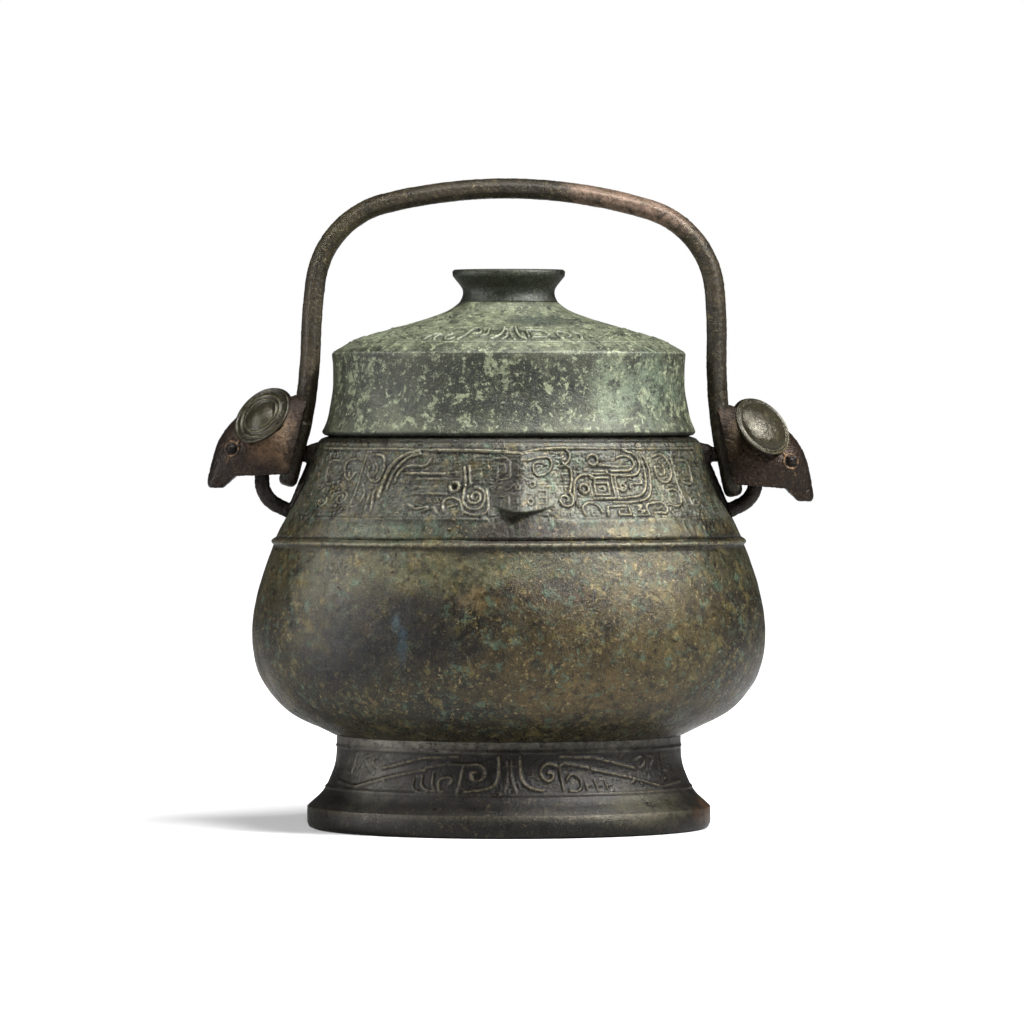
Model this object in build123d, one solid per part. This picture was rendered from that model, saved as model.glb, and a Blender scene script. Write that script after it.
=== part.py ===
from build123d import *
import math
import os

# A bronze you: an oval, low-bellied wine vessel on a ring foot, with a lid that
# slips over its neck and a swinging bail whose eyes hang on two side loops.
# Millimetres. X runs from loop to loop, Y from front to back, Z up from the table.
# Half widths are measured along X, and the oval is narrower along Y.

# Oval plan
depth_ratio = 0.78
casting_wall = 4.0

# Foot ring
foot_height = 40.4
foot_lip_half_width = 86.9
foot_lip_height = 9.4
foot_lip_round = 2.6
foot_sole_trim = 0.4
foot_waist_half_width = 74.2
foot_wall = 4.2
foot_flare_start = 30.0

# Bowl
bowl_underside_height = 34.0
bowl_seat_half_width = 75.6
collar_cut_depth = 22.0
collar_cut_turn = 50.0
belly_half_width = 110.5
belly_height = 81.5
lower_belly_fullness = 0.65
lower_belly_rise = 0.31
collar_depth = 43.9
collar_foot_half_width = 100.2
ridge_bead_radius = 1.3
ridge_slope = 0.42
collar_middle_drop = 27.6
collar_middle_half_width = 91.6
collar_upper_drop = 18.4
collar_upper_half_width = 87.1
rim_strip_drop = 7.6
rim_strip_half_width = 84.2
rim_height = 168.6
rim_half_width = 81.6
rim_round = 1.8

# Lid
lid_foot_half_width = 80.4
lid_foot_round = 0.7
lid_waist_half_width = 75.7
lid_waist_rise = 25.0
lid_shoulder_half_width = 76.2
lid_shoulder_rise = 35.2
lid_shoulder_round = 0.8
lid_roof_half_width = 40.0
lid_roof_rise = 49.4
lid_wall = 3.4
neck_height = 20.0
neck_wall = 3.4
neck_clearance = 0.8

# Knob of the lid, an open flared ring
knob_seat_half_width = 21.2
knob_seat_rise = 57.6
knob_waist_half_width = 19.8
knob_lip_half_width = 24.2
knob_lip_thickness = 2.6
knob_height = 14.0
knob_wall = 3.4
knob_well_depth = 4.6

# Side loops
loop_rod_diameter = 6.4
pivot_drop = 7.9
loop_reach = 22.0
loop_upper_radius = 7.5
loop_straight_drop = 4.0
loop_lower_radius = 11.5
loop_lower_turn = 65.0
loop_back_stand = 0.9
root_flare_radius = 5.8
arm_flare_radius = 4.8
root_flare_length = 3.6
arm_flare_length = 6.5

# Bail
bail_width = 12.0
bail_thickness = 8.6
bail_crown = 3.0
bail_bevel = 2.6
grip_gap = 30.7
crown_turn = 15.5
corner_turn = 68.0
corner_radius = 39.8
shoulder_radius = 227.0
leg_flare = 13.0
leg_extra_flare = 3.6
bail_lean = 1.3
bail_shift = 1.1

# Eyes at the ends of the bail
eye_standoff = 8.5
eye_width = 15.0
eye_thickness = 7.9
eye_drop = 16.3
eye_rise = 12.0
eye_round = 2.8
slot_clearance = 0.5
slot_play = 5.2

# Beast heads on the eyes
head_pitch = 40.0
head_start = 4.0
head_start_rise = 11.3
head_wall = 1.8
jaw_drop = 10.4
chin_drop = 11.9
chin_reach = 25.5
snout_drop = 17.2
snout_reach = 31.0
eye_boss_radius = 3.1
eye_boss_along = 25.0
eye_boss_up = 6.2
eye_boss_spread = 12.2

# Disc horns
horn_radius = 14.0
horn_thickness = 2.2
horn_dome = 3.0
horn_tilt = 50.0
horn_heading = 45.0
horn_reach = 13.6
horn_rise = 13.6
horn_spread = 13.9
horn_stem_radius = 6.5
horn_stem_length = 9.0

# Relief masks on the collar
mask_offset = 4.6
mask_top_drop = 5.5
mask_bottom_drop = 33.6
mask_top_half_width = 12.0
mask_bottom_half_width = 18.0
mask_top_stand = 1.4
mask_bottom_stand = 5.6
mask_sink = 3.0
mask_root = 9.0

neck_top = rim_height + neck_height
pivot_height = rim_height - pivot_drop
rod_radius = loop_rod_diameter / 2
knob_top = rim_height + knob_seat_rise + knob_height
bail_top_middle = knob_top + grip_gap + bail_thickness / 2


def oval_solid(outline):
    """Turns a closed outline round Z in quarters, then narrows it along Y to an oval."""
    quarter = revolve(make_face(Plane.XZ * outline), Axis.Z, revolution_arc=90)
    quarters = [quarter.rotate(Axis.Z, 45 + 90 * turn) for turn in range(4)]
    return scale(quarters[0].fuse(*quarters[1:]), by=(1, depth_ratio, 1))


def lower_belly_point(inset=0.0):
    """A point on the belly's full lower curve, or on a curve inside it."""
    spread = belly_half_width - bowl_seat_half_width
    x = bowl_seat_half_width + lower_belly_fullness * spread
    z = foot_height + lower_belly_rise * (belly_height - foot_height)
    return (x - 0.7 * inset, z + 0.7 * inset)


def collar_curve(inset=0.0):
    """The sloping collar from the foot of the ridge up to the rim."""
    return Spline(
        (collar_foot_half_width - inset, rim_height - collar_depth),
        (collar_middle_half_width - inset, rim_height - collar_middle_drop),
        (collar_upper_half_width - inset, rim_height - collar_upper_drop),
        (rim_strip_half_width - inset, rim_height - rim_strip_drop),
        (rim_half_width - inset, rim_height - rim_round),
        tangents=((-0.45, 1.0), (-0.6, 1.0)),
    )


def collar_half_width(height):
    """Half width of the collar's outside at a height, found along its curve."""
    curve = collar_curve()
    low = 0.0
    high = 1.0
    for _ in range(40):
        middle = (low + high) / 2
        if (curve @ middle).Y < height:
            low = middle
        else:
            high = middle
    return (curve @ low).X


def collar_cutter(heading):
    """A thick sector of the collar, used to fit roots and masks to its outside."""
    collar = collar_curve()
    inner = collar_half_width(rim_height - collar_middle_drop) - collar_cut_depth
    back = Polyline(
        collar @ 1,
        (inner, rim_height - rim_round),
        (inner, rim_height - collar_depth),
        collar @ 0,
    )
    sector = revolve(make_face(Plane.XZ * (collar + back)), Axis.Z, revolution_arc=collar_cut_turn)
    return scale(sector.rotate(Axis.Z, heading - collar_cut_turn / 2), by=(1, depth_ratio, 1))


def lid_inner_half_width():
    """Narrowest half width inside the lid, which the neck slips into."""
    return lid_waist_half_width - lid_wall


def neck_half_width():
    return lid_inner_half_width() - neck_clearance


def vessel_bowl():
    """Bowl, collar, flat rim and upright neck as one shell round an open cavity."""
    ridge_height = rim_height - collar_depth
    foot_inside = foot_waist_half_width - foot_wall
    under = Spline((0, bowl_underside_height), (foot_inside, foot_height), tangents=((1, 0), (1, 0.3)))
    seat = Line(under @ 1, (bowl_seat_half_width, foot_height))
    belly = Spline(
        seat @ 1,
        lower_belly_point(),
        (belly_half_width, belly_height),
        (
            collar_foot_half_width + 2 * ridge_slope * ridge_bead_radius,
            ridge_height - 2 * ridge_bead_radius,
        ),
        tangents=((0.9, 0.42), (-0.38, 1)),
    )
    bead = ThreePointArc(
        belly @ 1,
        (collar_foot_half_width + 1.8 * ridge_bead_radius, ridge_height - ridge_bead_radius),
        (collar_foot_half_width, ridge_height),
    )
    collar = collar_curve()
    rim = RadiusArc(collar @ 1, (rim_half_width - rim_round, rim_height), -rim_round * 1.1)
    mouth = neck_half_width() - neck_wall
    neck = Polyline(
        rim @ 1,
        (neck_half_width(), rim_height),
        (neck_half_width(), neck_top - 1),
        (neck_half_width() - 1, neck_top),
        (mouth, neck_top),
        (mouth, rim_height - casting_wall),
    )
    inside = Spline(
        neck @ 1,
        (collar_middle_half_width - casting_wall, rim_height - collar_middle_drop),
        (collar_foot_half_width - casting_wall, ridge_height),
        (belly_half_width - casting_wall, belly_height),
        lower_belly_point(casting_wall),
        (foot_inside - casting_wall, foot_height + 1.2 * casting_wall),
        tangents=((0.4, -1), (-1, -0.42)),
    )
    floor = Spline(inside @ 1, (0, bowl_underside_height + casting_wall), tangents=((-1, -0.42), (-1, 0)))
    axis = Line(floor @ 1, under @ 0)
    return oval_solid(under + seat + belly + bead + collar + rim + neck + inside + floor + axis)


def foot_ring():
    """Flared hollow foot with an upright lip and a flat sole, its top on the bowl's seat."""
    flare = Spline(
        (foot_waist_half_width, foot_flare_start),
        (foot_lip_half_width, foot_lip_height),
        tangents=((0, -1), (0.72, -0.69)),
    )
    lip = Line(flare @ 1, (foot_lip_half_width, foot_lip_round))
    toe = ThreePointArc(
        lip @ 1,
        (foot_lip_half_width - 0.33 * foot_lip_round, 0.22 * foot_lip_round),
        (foot_lip_half_width - 1.1 * foot_lip_round, -foot_sole_trim),
    )
    sole = Line(toe @ 1, (foot_lip_half_width - 1.9 * foot_wall, -foot_sole_trim))
    inner = Spline(
        sole @ 1,
        (foot_waist_half_width - foot_wall, foot_flare_start),
        tangents=((-0.3, 1), (0, 1)),
    )
    top = Polyline(
        inner @ 1,
        (foot_waist_half_width - foot_wall, foot_height),
        (foot_waist_half_width, foot_height),
        flare @ 0,
    )
    ring = oval_solid(flare + lip + toe + sole + inner + top)
    return ring - Pos(0, 0, -50) * Box(400, 400, 100)


def loop_path():
    """Centreline of the right-hand loop: level bar, outer bend, and run back to the wall."""
    reach = collar_half_width(pivot_height) + loop_reach
    bar_end = reach - loop_upper_radius
    start = Vector(collar_half_width(pivot_height) - 10, pivot_height)
    bar = Line(start, (bar_end, pivot_height))
    bend = JernArc(bar @ 1, (1, 0), loop_upper_radius, -90)
    drop = Line(bend @ 1, bend @ 1 - Vector(0, loop_straight_drop))
    turn = JernArc(drop @ 1, (0, -1), loop_lower_radius, -loop_lower_turn)
    back = Line(turn @ 1, turn @ 1 + (turn % 1) * 22)
    return bar, bend, drop, turn, back


def root_flare(wall_point, outward, radius, length):
    """A cone that thickens a rod where it meets the collar."""
    direction = Vector(outward.X, 0, outward.Y)
    plane = Plane(origin=Vector(wall_point.X, 0, wall_point.Y) - direction, z_dir=direction)
    base = (Align.CENTER, Align.CENTER, Align.MIN)
    return plane * Cone(radius, rod_radius, length + 1, align=base)


def side_loop(side):
    """A round-rod loop with flared roots on the collar and a low rib between them."""
    bar, bend, drop, turn, back = loop_path()
    section = Plane(origin=((bar @ 0).X, 0, pivot_height), z_dir=(1, 0, 0)) * Circle(rod_radius)
    rod = sweep(section, path=Plane.XZ * (bar + bend + drop + turn + back))
    root_height = (back @ 0.6).Y
    rib_low = Vector(collar_half_width(root_height) + loop_back_stand - rod_radius, 0, root_height)
    rib_high = Vector(collar_half_width(pivot_height) + loop_back_stand - rod_radius, 0, pivot_height)
    rib_axis = rib_high - rib_low
    rib = Plane(origin=rib_low, z_dir=rib_axis) * Cylinder(
        rod_radius, rib_axis.length, align=(Align.CENTER, Align.CENTER, Align.MIN)
    )
    bar_wall = Vector(collar_half_width(pivot_height), pivot_height)
    arm_wall = back @ 0.6
    flares = root_flare(bar_wall, Vector(1, 0), root_flare_radius, root_flare_length)
    flares += root_flare(arm_wall, Vector(0, 0) - back % 0, arm_flare_radius, arm_flare_length)
    loop = rod + rib + flares - collar_cutter(0)
    loop = max(loop.solids(), key=lambda s: s.center().X)
    return loop if side > 0 else mirrored(loop)


def bail_path():
    """Right half of the bail's centreline, from the crown down to the eye's lower end."""
    span = collar_half_width(pivot_height) + eye_standoff
    first = math.radians(crown_turn)
    both = math.radians(crown_turn + corner_turn)
    flare = math.tan(math.radians(leg_flare) / 2)
    drop = corner_radius * (math.cos(first) - math.cos(both)) + shoulder_radius * math.cos(both)
    reach = corner_radius * (math.sin(both) - math.sin(first)) + shoulder_radius * (1 - math.sin(both))
    crown_radius = (span - reach - (bail_top_middle - drop - pivot_height) * flare) / (
        math.sin(first) - (1 - math.cos(first)) * flare
    )
    crown = JernArc((0, bail_top_middle), (1, 0), crown_radius, -crown_turn)
    corner = JernArc(crown @ 1, crown % 1, corner_radius, -corner_turn)
    shoulder = JernArc(corner @ 1, corner % 1, shoulder_radius, crown_turn + corner_turn - 90)
    leg_drop = (shoulder @ 1).Y - pivot_height
    leg_radius = leg_drop / math.sin(math.radians(leg_flare))
    leg = JernArc(shoulder @ 1, (0, -1), leg_radius, leg_flare + leg_extra_flare)
    return crown, corner, shoulder, leg


def eye_plane():
    """Plane of the right-hand eye, facing outboard, with its origin on the pivot line."""
    tilt = math.radians(leg_flare)
    span = collar_half_width(pivot_height) + eye_standoff
    outward = (math.cos(tilt), 0, math.sin(tilt))
    return Plane(origin=(span, 0, pivot_height), x_dir=(0, 1, 0), z_dir=outward)


def bail_section():
    """Strap section: crowned outside, upright sides and bevelled inside corners."""
    half = bail_width / 2
    depth = bail_thickness / 2
    crown = ThreePointArc((-half, depth - bail_crown), (0, depth), (half, depth - bail_crown))
    inside = Polyline(
        (half, depth - bail_crown),
        (half, bail_bevel - depth),
        (half - bail_bevel, -depth),
        (bail_bevel - half, -depth),
        (-half, bail_bevel - depth),
        (-half, depth - bail_crown),
    )
    return make_face(crown + inside)


def eye_tab():
    """Flat rounded tab at the bail's end, which hangs below the loop's bar."""
    half = eye_width / 2
    outline = Rectangle(eye_width, eye_rise + eye_drop - half, align=(Align.CENTER, Align.MAX))
    outline = Pos(0, eye_rise) * outline + Pos(0, half - eye_drop) * Circle(half)
    tab = extrude(outline, eye_thickness / 2, both=True)
    rims = [e for e in tab.edges() if e.center().Y < eye_rise - 0.5]
    rims = [e for e in rims if abs(abs(e.center().Z) - eye_thickness / 2) < 0.01]
    return eye_plane() * fillet(rims, eye_round)


def slot_cutter():
    """Upright slot along X that the loop's bar passes through with play."""
    radius = rod_radius + slot_clearance
    middle = eye_plane().origin
    section = Rectangle(2 * radius, slot_play)
    section += Pos(0, slot_play / 2) * Circle(radius)
    section += Pos(0, -slot_play / 2) * Circle(radius)
    plane = Plane(origin=middle - Vector(3 * eye_thickness, 0, 0), x_dir=(0, 1, 0), z_dir=(1, 0, 0))
    return extrude(plane * section, 6 * eye_thickness)


def bail_half():
    crown, corner, shoulder, leg = bail_path()
    start = Plane(origin=(0, 0, bail_top_middle), x_dir=(0, 1, 0), z_dir=(1, 0, 0))
    strap = sweep(start * bail_section(), path=Plane.XZ * (crown + corner + shoulder + leg))
    below = Pos(0, 0, pivot_height - 4 - 50) * Box(400, 60, 100)
    return strap - below + eye_tab() - slot_cutter()


def leaned(shape):
    """Sets a bail piece as it hangs: a little low on one side and off centre."""
    hinge = Axis((0, 0, pivot_height), (0, 1, 0))
    return Pos(bail_shift, 0, 0) * shape.rotate(hinge, bail_lean)


def head_frame():
    """Start point and directions of the right-hand head: along its nose, and up."""
    tilt = math.radians(head_pitch)
    span = collar_half_width(pivot_height) + eye_standoff
    start = Vector(span + head_start, 0, pivot_height + head_start_rise)
    along = Vector(math.cos(tilt), 0, -math.sin(tilt))
    up = Vector(math.sin(tilt), 0, math.cos(tilt))
    return start, along, up


# Head stations: distance along the nose, crown, springing, half width and underside.
head_stations = [
    (-15.5, 8.4, -7.0, 6.6, -38.0),
    (-8.5, 8.0, -5.0, 9.6, -36.0),
    (-2.5, 10.4, -4.0, 12.2, -33.0),
    (5.0, 13.4, -3.0, 14.6, -28.0),
    (13.0, 15.4, -1.5, 15.8, -24.0),
    (21.0, 14.8, 0.0, 15.8, -20.0),
    (27.5, 12.7, 1.0, 14.0, -18.0),
    (35.0, 8.0, 0.5, 9.2, -15.0),
    (40.5, 3.7, -0.5, 6.8, -12.0),
    (43.4, 0.4, -2.0, 5.4, -10.0),
]
cavity_stations = 7


def head_loft(stations, inset, extra):
    """A loft through arched sections that stand across the nose line."""
    start, along, up = head_frame()
    sections = []
    for distance, crown, spring, half, under in stations:
        top = crown - spring - inset
        width = half - inset
        low = under - extra
        arch = EllipticalCenterArc((0, spring), width, top, arc_size=180)
        sides = Polyline((-width, spring), (-width, low), (width, low), (width, spring))
        plane = Plane(origin=start + along * distance, x_dir=(0, 1, 0), z_dir=along)
        sections.append(plane * make_face(arch + sides))
    return loft(sections)


def head_filled():
    """The head's outside, its jaw, chin and snout cut from below, its back cut to the strap."""
    start, along, up = head_frame()
    span = collar_half_width(pivot_height) + eye_standoff
    outside = head_loft(head_stations, 0, 0)
    jaw = Polyline(
        (span - 60, pivot_height - jaw_drop),
        (span, pivot_height - jaw_drop),
        (span + chin_reach, pivot_height - chin_drop),
        (span + snout_reach, pivot_height - snout_drop),
        (span + 90, pivot_height - snout_drop),
        (span + 90, pivot_height - 90),
        (span - 60, pivot_height - 90),
        close=True,
    )
    below = extrude(Plane.XZ * make_face(jaw), 50, both=True)
    behind = eye_plane() * Pos(0, 0, -50) * Box(80, 120, 100)
    solid = outside - below - behind
    eye_place = start + along * eye_boss_along + up * eye_boss_up
    for side in (-1, 1):
        solid += Pos(eye_place.X, side * eye_boss_spread, eye_place.Z) * Sphere(eye_boss_radius)
    return solid


def beast_head(filled, bail):
    """Hollow head, open below and behind, so that it swings clear of the loop."""
    cavity = head_loft(head_stations[:cavity_stations], head_wall, 20)
    shell = filled - cavity - bail
    return max(shell.solids(), key=lambda s: s.volume)


def horn_disc():
    """A dished disc with a raised rim, a middle ring and a low central dome."""
    edge = horn_radius
    rim = horn_thickness
    outline = Polyline(
        (0, -horn_stem_length),
        (horn_stem_radius, -horn_stem_length),
        (horn_stem_radius, 0),
        (edge - 0.9, 0),
        (edge, 0.9),
        (edge - 0.8, rim),
        (edge - 2.2, rim + 0.3),
        (edge - 3.0, rim - 0.5),
        (edge - 4.0, rim + 0.4),
        (edge - 5.8, rim + 0.9),
        (edge - 6.4, rim + 0.3),
    )
    width = edge - 6.4
    height = horn_dome - 0.3
    ball = (width**2 + height**2) / (2 * height)
    turn = math.asin(width / ball) / 2
    middle = (ball * math.sin(turn), rim + horn_dome - ball * (1 - math.cos(turn)))
    dome = ThreePointArc(outline @ 1, middle, (0, rim + horn_dome))
    axis = Line(dome @ 1, outline @ 0)
    return revolve(make_face(Plane.XZ * (outline + dome + axis)), Axis.Z)


def horn_pair(filled, bail):
    """Two disc horns that lean together over the crown of the right-hand head."""
    tilt = math.radians(horn_tilt)
    heading = math.radians(horn_heading)
    span = collar_half_width(pivot_height) + eye_standoff
    pair = []
    for side in (-1, 1):
        facing = (
            math.sin(tilt) * math.cos(heading),
            side * math.cos(tilt),
            math.sin(tilt) * math.sin(heading),
        )
        place = (span + horn_reach, side * horn_spread, pivot_height + horn_rise)
        disc = Plane(origin=place, z_dir=facing) * horn_disc() - filled - bail
        pair.append(max(disc.solids(), key=lambda s: s.volume))
    return pair


def collar_mask(facing):
    """A wedge-nosed mask on the collar; its ridge stands furthest out at its lower end."""
    sections = []
    for drop, half, stand in (
        (mask_bottom_drop, mask_bottom_half_width, mask_bottom_stand),
        (mask_top_drop, mask_top_half_width, mask_top_stand),
    ):
        height = rim_height - drop
        wall = collar_half_width(height) * depth_ratio
        points = [
            (mask_offset - half, -(wall - mask_sink)),
            (mask_offset, -(wall + stand)),
            (mask_offset + half, -(wall - mask_sink)),
            (mask_offset + half, -(wall - mask_root)),
            (mask_offset - half, -(wall - mask_root)),
        ]
        sections.append(Pos(0, 0, height) * make_face(Polyline(*points, close=True)))
    wedge = loft(sections, ruled=True) - collar_cutter(270)
    mask = min(wedge.solids(), key=lambda s: s.center().Y)
    return mask if facing < 0 else mask.rotate(Axis.Z, 180)


def lid():
    """Domed lid with a concave skirt, open below, with a shallow well under the knob."""
    base = rim_height
    shoulder_height = base + lid_shoulder_rise
    toe = Line(
        (lid_foot_half_width - lid_foot_round, base),
        (lid_foot_half_width, base + lid_foot_round),
    )
    skirt = Spline(
        toe @ 1,
        (lid_waist_half_width, base + lid_waist_rise),
        (lid_shoulder_half_width, base + lid_shoulder_rise),
        tangents=((-0.4, 1), (0.12, 1)),
    )
    shoulder = ThreePointArc(
        skirt @ 1,
        (lid_shoulder_half_width - 0.25 * lid_shoulder_round, shoulder_height + 0.75 * lid_shoulder_round),
        (lid_shoulder_half_width - lid_shoulder_round, shoulder_height + 1.2 * lid_shoulder_round),
    )
    roof = Spline(
        shoulder @ 1,
        (lid_roof_half_width, base + lid_roof_rise),
        (knob_seat_half_width, base + knob_seat_rise),
        tangents=((-1, 0.5), (-0.62, 1)),
    )
    well = Polyline(
        roof @ 1,
        (knob_seat_half_width - knob_wall, base + knob_seat_rise),
        (knob_seat_half_width - knob_wall - 0.5, base + knob_seat_rise - knob_well_depth),
        (0, base + knob_seat_rise - knob_well_depth),
        (0, base + knob_seat_rise - knob_well_depth - lid_wall),
    )
    ceiling = Spline(
        well @ 1,
        (lid_roof_half_width, base + lid_roof_rise - 1.15 * lid_wall),
        (lid_shoulder_half_width - lid_wall, base + lid_shoulder_rise - 1),
        tangents=((1, 0), (1, -0.5)),
    )
    inner_wall = Spline(
        ceiling @ 1,
        (lid_waist_half_width - lid_wall, base + lid_waist_rise),
        (lid_foot_half_width - lid_wall, base),
        tangents=((-0.12, -1), (0.4, -1)),
    )
    closing = Line(inner_wall @ 1, toe @ 0)
    return oval_solid(toe + skirt + shoulder + roof + well + ceiling + inner_wall + closing)


def lid_knob():
    """Open flared ring that stands on the lid as its grip."""
    base = rim_height + knob_seat_rise
    outside = Spline(
        (knob_seat_half_width, base),
        (knob_waist_half_width, base + 0.36 * knob_height),
        (knob_lip_half_width, base + knob_height - knob_lip_thickness),
        tangents=((-0.62, 1), (0.75, 0.8)),
    )
    lip = Polyline(
        outside @ 1,
        (knob_lip_half_width, base + knob_height - 0.6),
        (knob_lip_half_width - 0.8, base + knob_height),
        (knob_lip_half_width - knob_wall, base + knob_height),
    )
    inside = Spline(
        lip @ 1,
        (knob_waist_half_width - knob_wall, base + 0.42 * knob_height),
        (knob_seat_half_width - knob_wall, base),
        tangents=((-0.7, -0.8), (0.3, -1)),
    )
    floor = Line(inside @ 1, outside @ 0)
    return oval_solid(outside + lip + inside + floor)


def mirrored(shape):
    return mirror(shape, about=Plane.YZ)


def build():
    """Builds every piece at rest and returns them by name."""
    half = bail_half()
    filled = head_filled()
    head = beast_head(filled, half)
    horns = horn_pair(filled, half)
    pieces = {
        "vessel_bowl": vessel_bowl(),
        "foot_ring": foot_ring(),
        "right_loop": side_loop(1),
        "left_loop": side_loop(-1),
        "front_mask": collar_mask(-1),
        "back_mask": collar_mask(1),
        "lid": lid(),
        "lid_knob": lid_knob(),
        "bail_handle": leaned(half + mirrored(half)),
        "right_head": leaned(head),
        "left_head": leaned(mirrored(head)),
        "right_horns": Compound([leaned(h) for h in horns]),
        "left_horns": Compound([leaned(mirrored(h)) for h in horns]),
    }
    return pieces


os.makedirs("parts", exist_ok=True)
for name, piece in build().items():
    export_step(piece, f"parts/{name}.step")
    print(name, len(piece.solids()), round(sum(s.volume for s in piece.solids())))
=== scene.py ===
import math

import bpy
import numpy as np
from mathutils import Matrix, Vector


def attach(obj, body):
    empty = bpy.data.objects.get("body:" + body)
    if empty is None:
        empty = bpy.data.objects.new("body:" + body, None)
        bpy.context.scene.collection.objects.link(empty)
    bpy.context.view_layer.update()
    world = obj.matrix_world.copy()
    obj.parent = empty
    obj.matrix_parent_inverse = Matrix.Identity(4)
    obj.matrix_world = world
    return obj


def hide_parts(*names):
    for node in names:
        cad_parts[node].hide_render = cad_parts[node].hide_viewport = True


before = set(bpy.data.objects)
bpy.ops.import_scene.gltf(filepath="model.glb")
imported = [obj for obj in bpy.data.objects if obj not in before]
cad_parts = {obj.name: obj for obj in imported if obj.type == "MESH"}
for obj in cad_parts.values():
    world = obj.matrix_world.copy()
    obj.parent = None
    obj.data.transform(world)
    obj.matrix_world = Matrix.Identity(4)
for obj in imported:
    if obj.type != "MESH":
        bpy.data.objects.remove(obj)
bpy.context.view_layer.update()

MM = 0.001
DEPTH_RATIO = 0.78

# Heights, half widths and places that the skins share with the frame, in millimetres.
RIM_HEIGHT = 168.6
PIVOT_HEIGHT = 160.7
NECK_TOP = 188.6
NECK_HALF_WIDTH = 71.5
NECK_WALL = 3.4
LID_CROWN = 226.2
BAIL_SHIFT = 1.1
BAIL_LEAN = math.radians(1.3)
SPAN = 92.7
HEAD_START = 4.0
HEAD_START_RISE = 11.3
HEAD_PITCH = math.radians(40)
EYE_ALONG = 25.0
EYE_UP = 6.2
HORN_RADIUS = 14.0
HORN_REACH = 13.6
HORN_RISE = 13.6
HORN_SPREAD = 13.9
HORN_TILT = math.radians(50)
HORN_HEADING = math.radians(45)

# The nose of the mask: its ridge stands right of the middle, and each face has its width.
RIDGE_ACROSS = 5.4
LEFT_FACE = 13.2
RIGHT_FACE = 16.0
NOSE_MIDDLE = 6.9
NOSE_HALF = 14.6
CHIN_HEIGHT = 136.2

# Each ornament band: the half width it is flattened at and the height it is drawn from.
NECK_BAND, NECK_BAND_TOP = 91.0, 163.5
ROOF_BAND, ROOF_BAND_FOOT = 62.0, 209.2
FOOT_BAND, FOOT_BAND_TOP = 76.0, 35.6

# Columns round each skin, fine enough for its strokes and under the limit on triangles.
BOWL_COLUMNS = 520
COLLAR_COLUMNS = 1080
FOOT_COLUMNS = 900
LID_COLUMNS = 768
KNOB_COLUMNS = 300

# The ornament is drawn as seen from the front, one unit being this many millimetres.
DRAWN = 0.4175


def smooth_run(points, step):
    """A natural cubic curve through the points, sampled about every step."""
    points = np.array(points, float)
    span = np.concatenate([[0], np.cumsum(np.hypot(*np.diff(points, axis=0).T))])
    count = len(points)
    gaps = np.diff(span)
    matrix = np.eye(count)
    right = np.zeros((count, 2))
    for i in range(1, count - 1):
        matrix[i, i - 1 : i + 2] = gaps[i - 1], 2 * (gaps[i - 1] + gaps[i]), gaps[i]
        slopes = (points[i + 1] - points[i]) / gaps[i] - (points[i] - points[i - 1]) / gaps[i - 1]
        right[i] = 6 * slopes
    bend = np.linalg.solve(matrix, right)
    steps = max(2, round(span[-1] / step) + 1)
    at = np.linspace(0, span[-1], steps)
    index = np.clip(np.searchsorted(span, at) - 1, 0, count - 2)
    left = (span[index + 1] - at)[:, None]
    over = (at - span[index])[:, None]
    gap = gaps[index][:, None]
    ends = bend[index] * left**3 / (6 * gap) + bend[index + 1] * over**3 / (6 * gap)
    ends += (points[index] / gap - bend[index] * gap / 6) * left
    return ends + (points[index + 1] / gap - bend[index + 1] * gap / 6) * over


def joined(*runs):
    """Runs end to end, without their shared points."""
    whole = [np.array(runs[0], float)]
    for run in runs[1:]:
        run = np.array(run, float)
        same = np.hypot(*(run[0] - whole[-1][-1])) < 1e-6
        whole.append(run[1:] if same else run)
    return np.concatenate(whole)


def even_turns(columns):
    """Angles round an oval at equal arc lengths, from the front to the right."""
    fine = np.linspace(-math.pi / 2, 1.5 * math.pi, 20001)
    speed = np.hypot(np.sin(fine), DEPTH_RATIO * np.cos(fine))
    travel = np.concatenate([[0], np.cumsum((speed[1:] + speed[:-1]) / 2)])
    return np.interp(np.arange(columns) * travel[-1] / columns, travel, fine)


def along_oval(x_over_half):
    """Arc length from the front to a place, over the half width, on the front half."""
    fine = np.linspace(-math.pi / 2, math.pi / 2, 4001)
    speed = np.hypot(np.cos(fine), DEPTH_RATIO * np.sin(fine))
    travel = np.concatenate([[0], np.cumsum((speed[1:] + speed[:-1]) / 2 * np.diff(fine))])
    middle = np.interp(0.0, fine, travel)
    angle = np.arcsin(np.clip(x_over_half, -1, 1))
    return np.interp(angle, fine, travel) - middle


HOOKS = [
    [(-3, 2.2), (2.4, 2.2), (2.4, -2), (-1, -2), (-1, 0.2)],
    [(-3, -2), (3, -2), (3, 2), (0, 2), (0, 0)],
    [(-3, 0), (-1, 2.4), (2.4, 1.6), (2.4, -1), (0, -1.6)],
    [(-2.2, 3), (-2.2, -2), (2.2, -2), (2.2, 1), (0, 1)],
    [(-3, 1.4), (3, 1.4), (3, -1.8), (-2, -1.8)],
]


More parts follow.
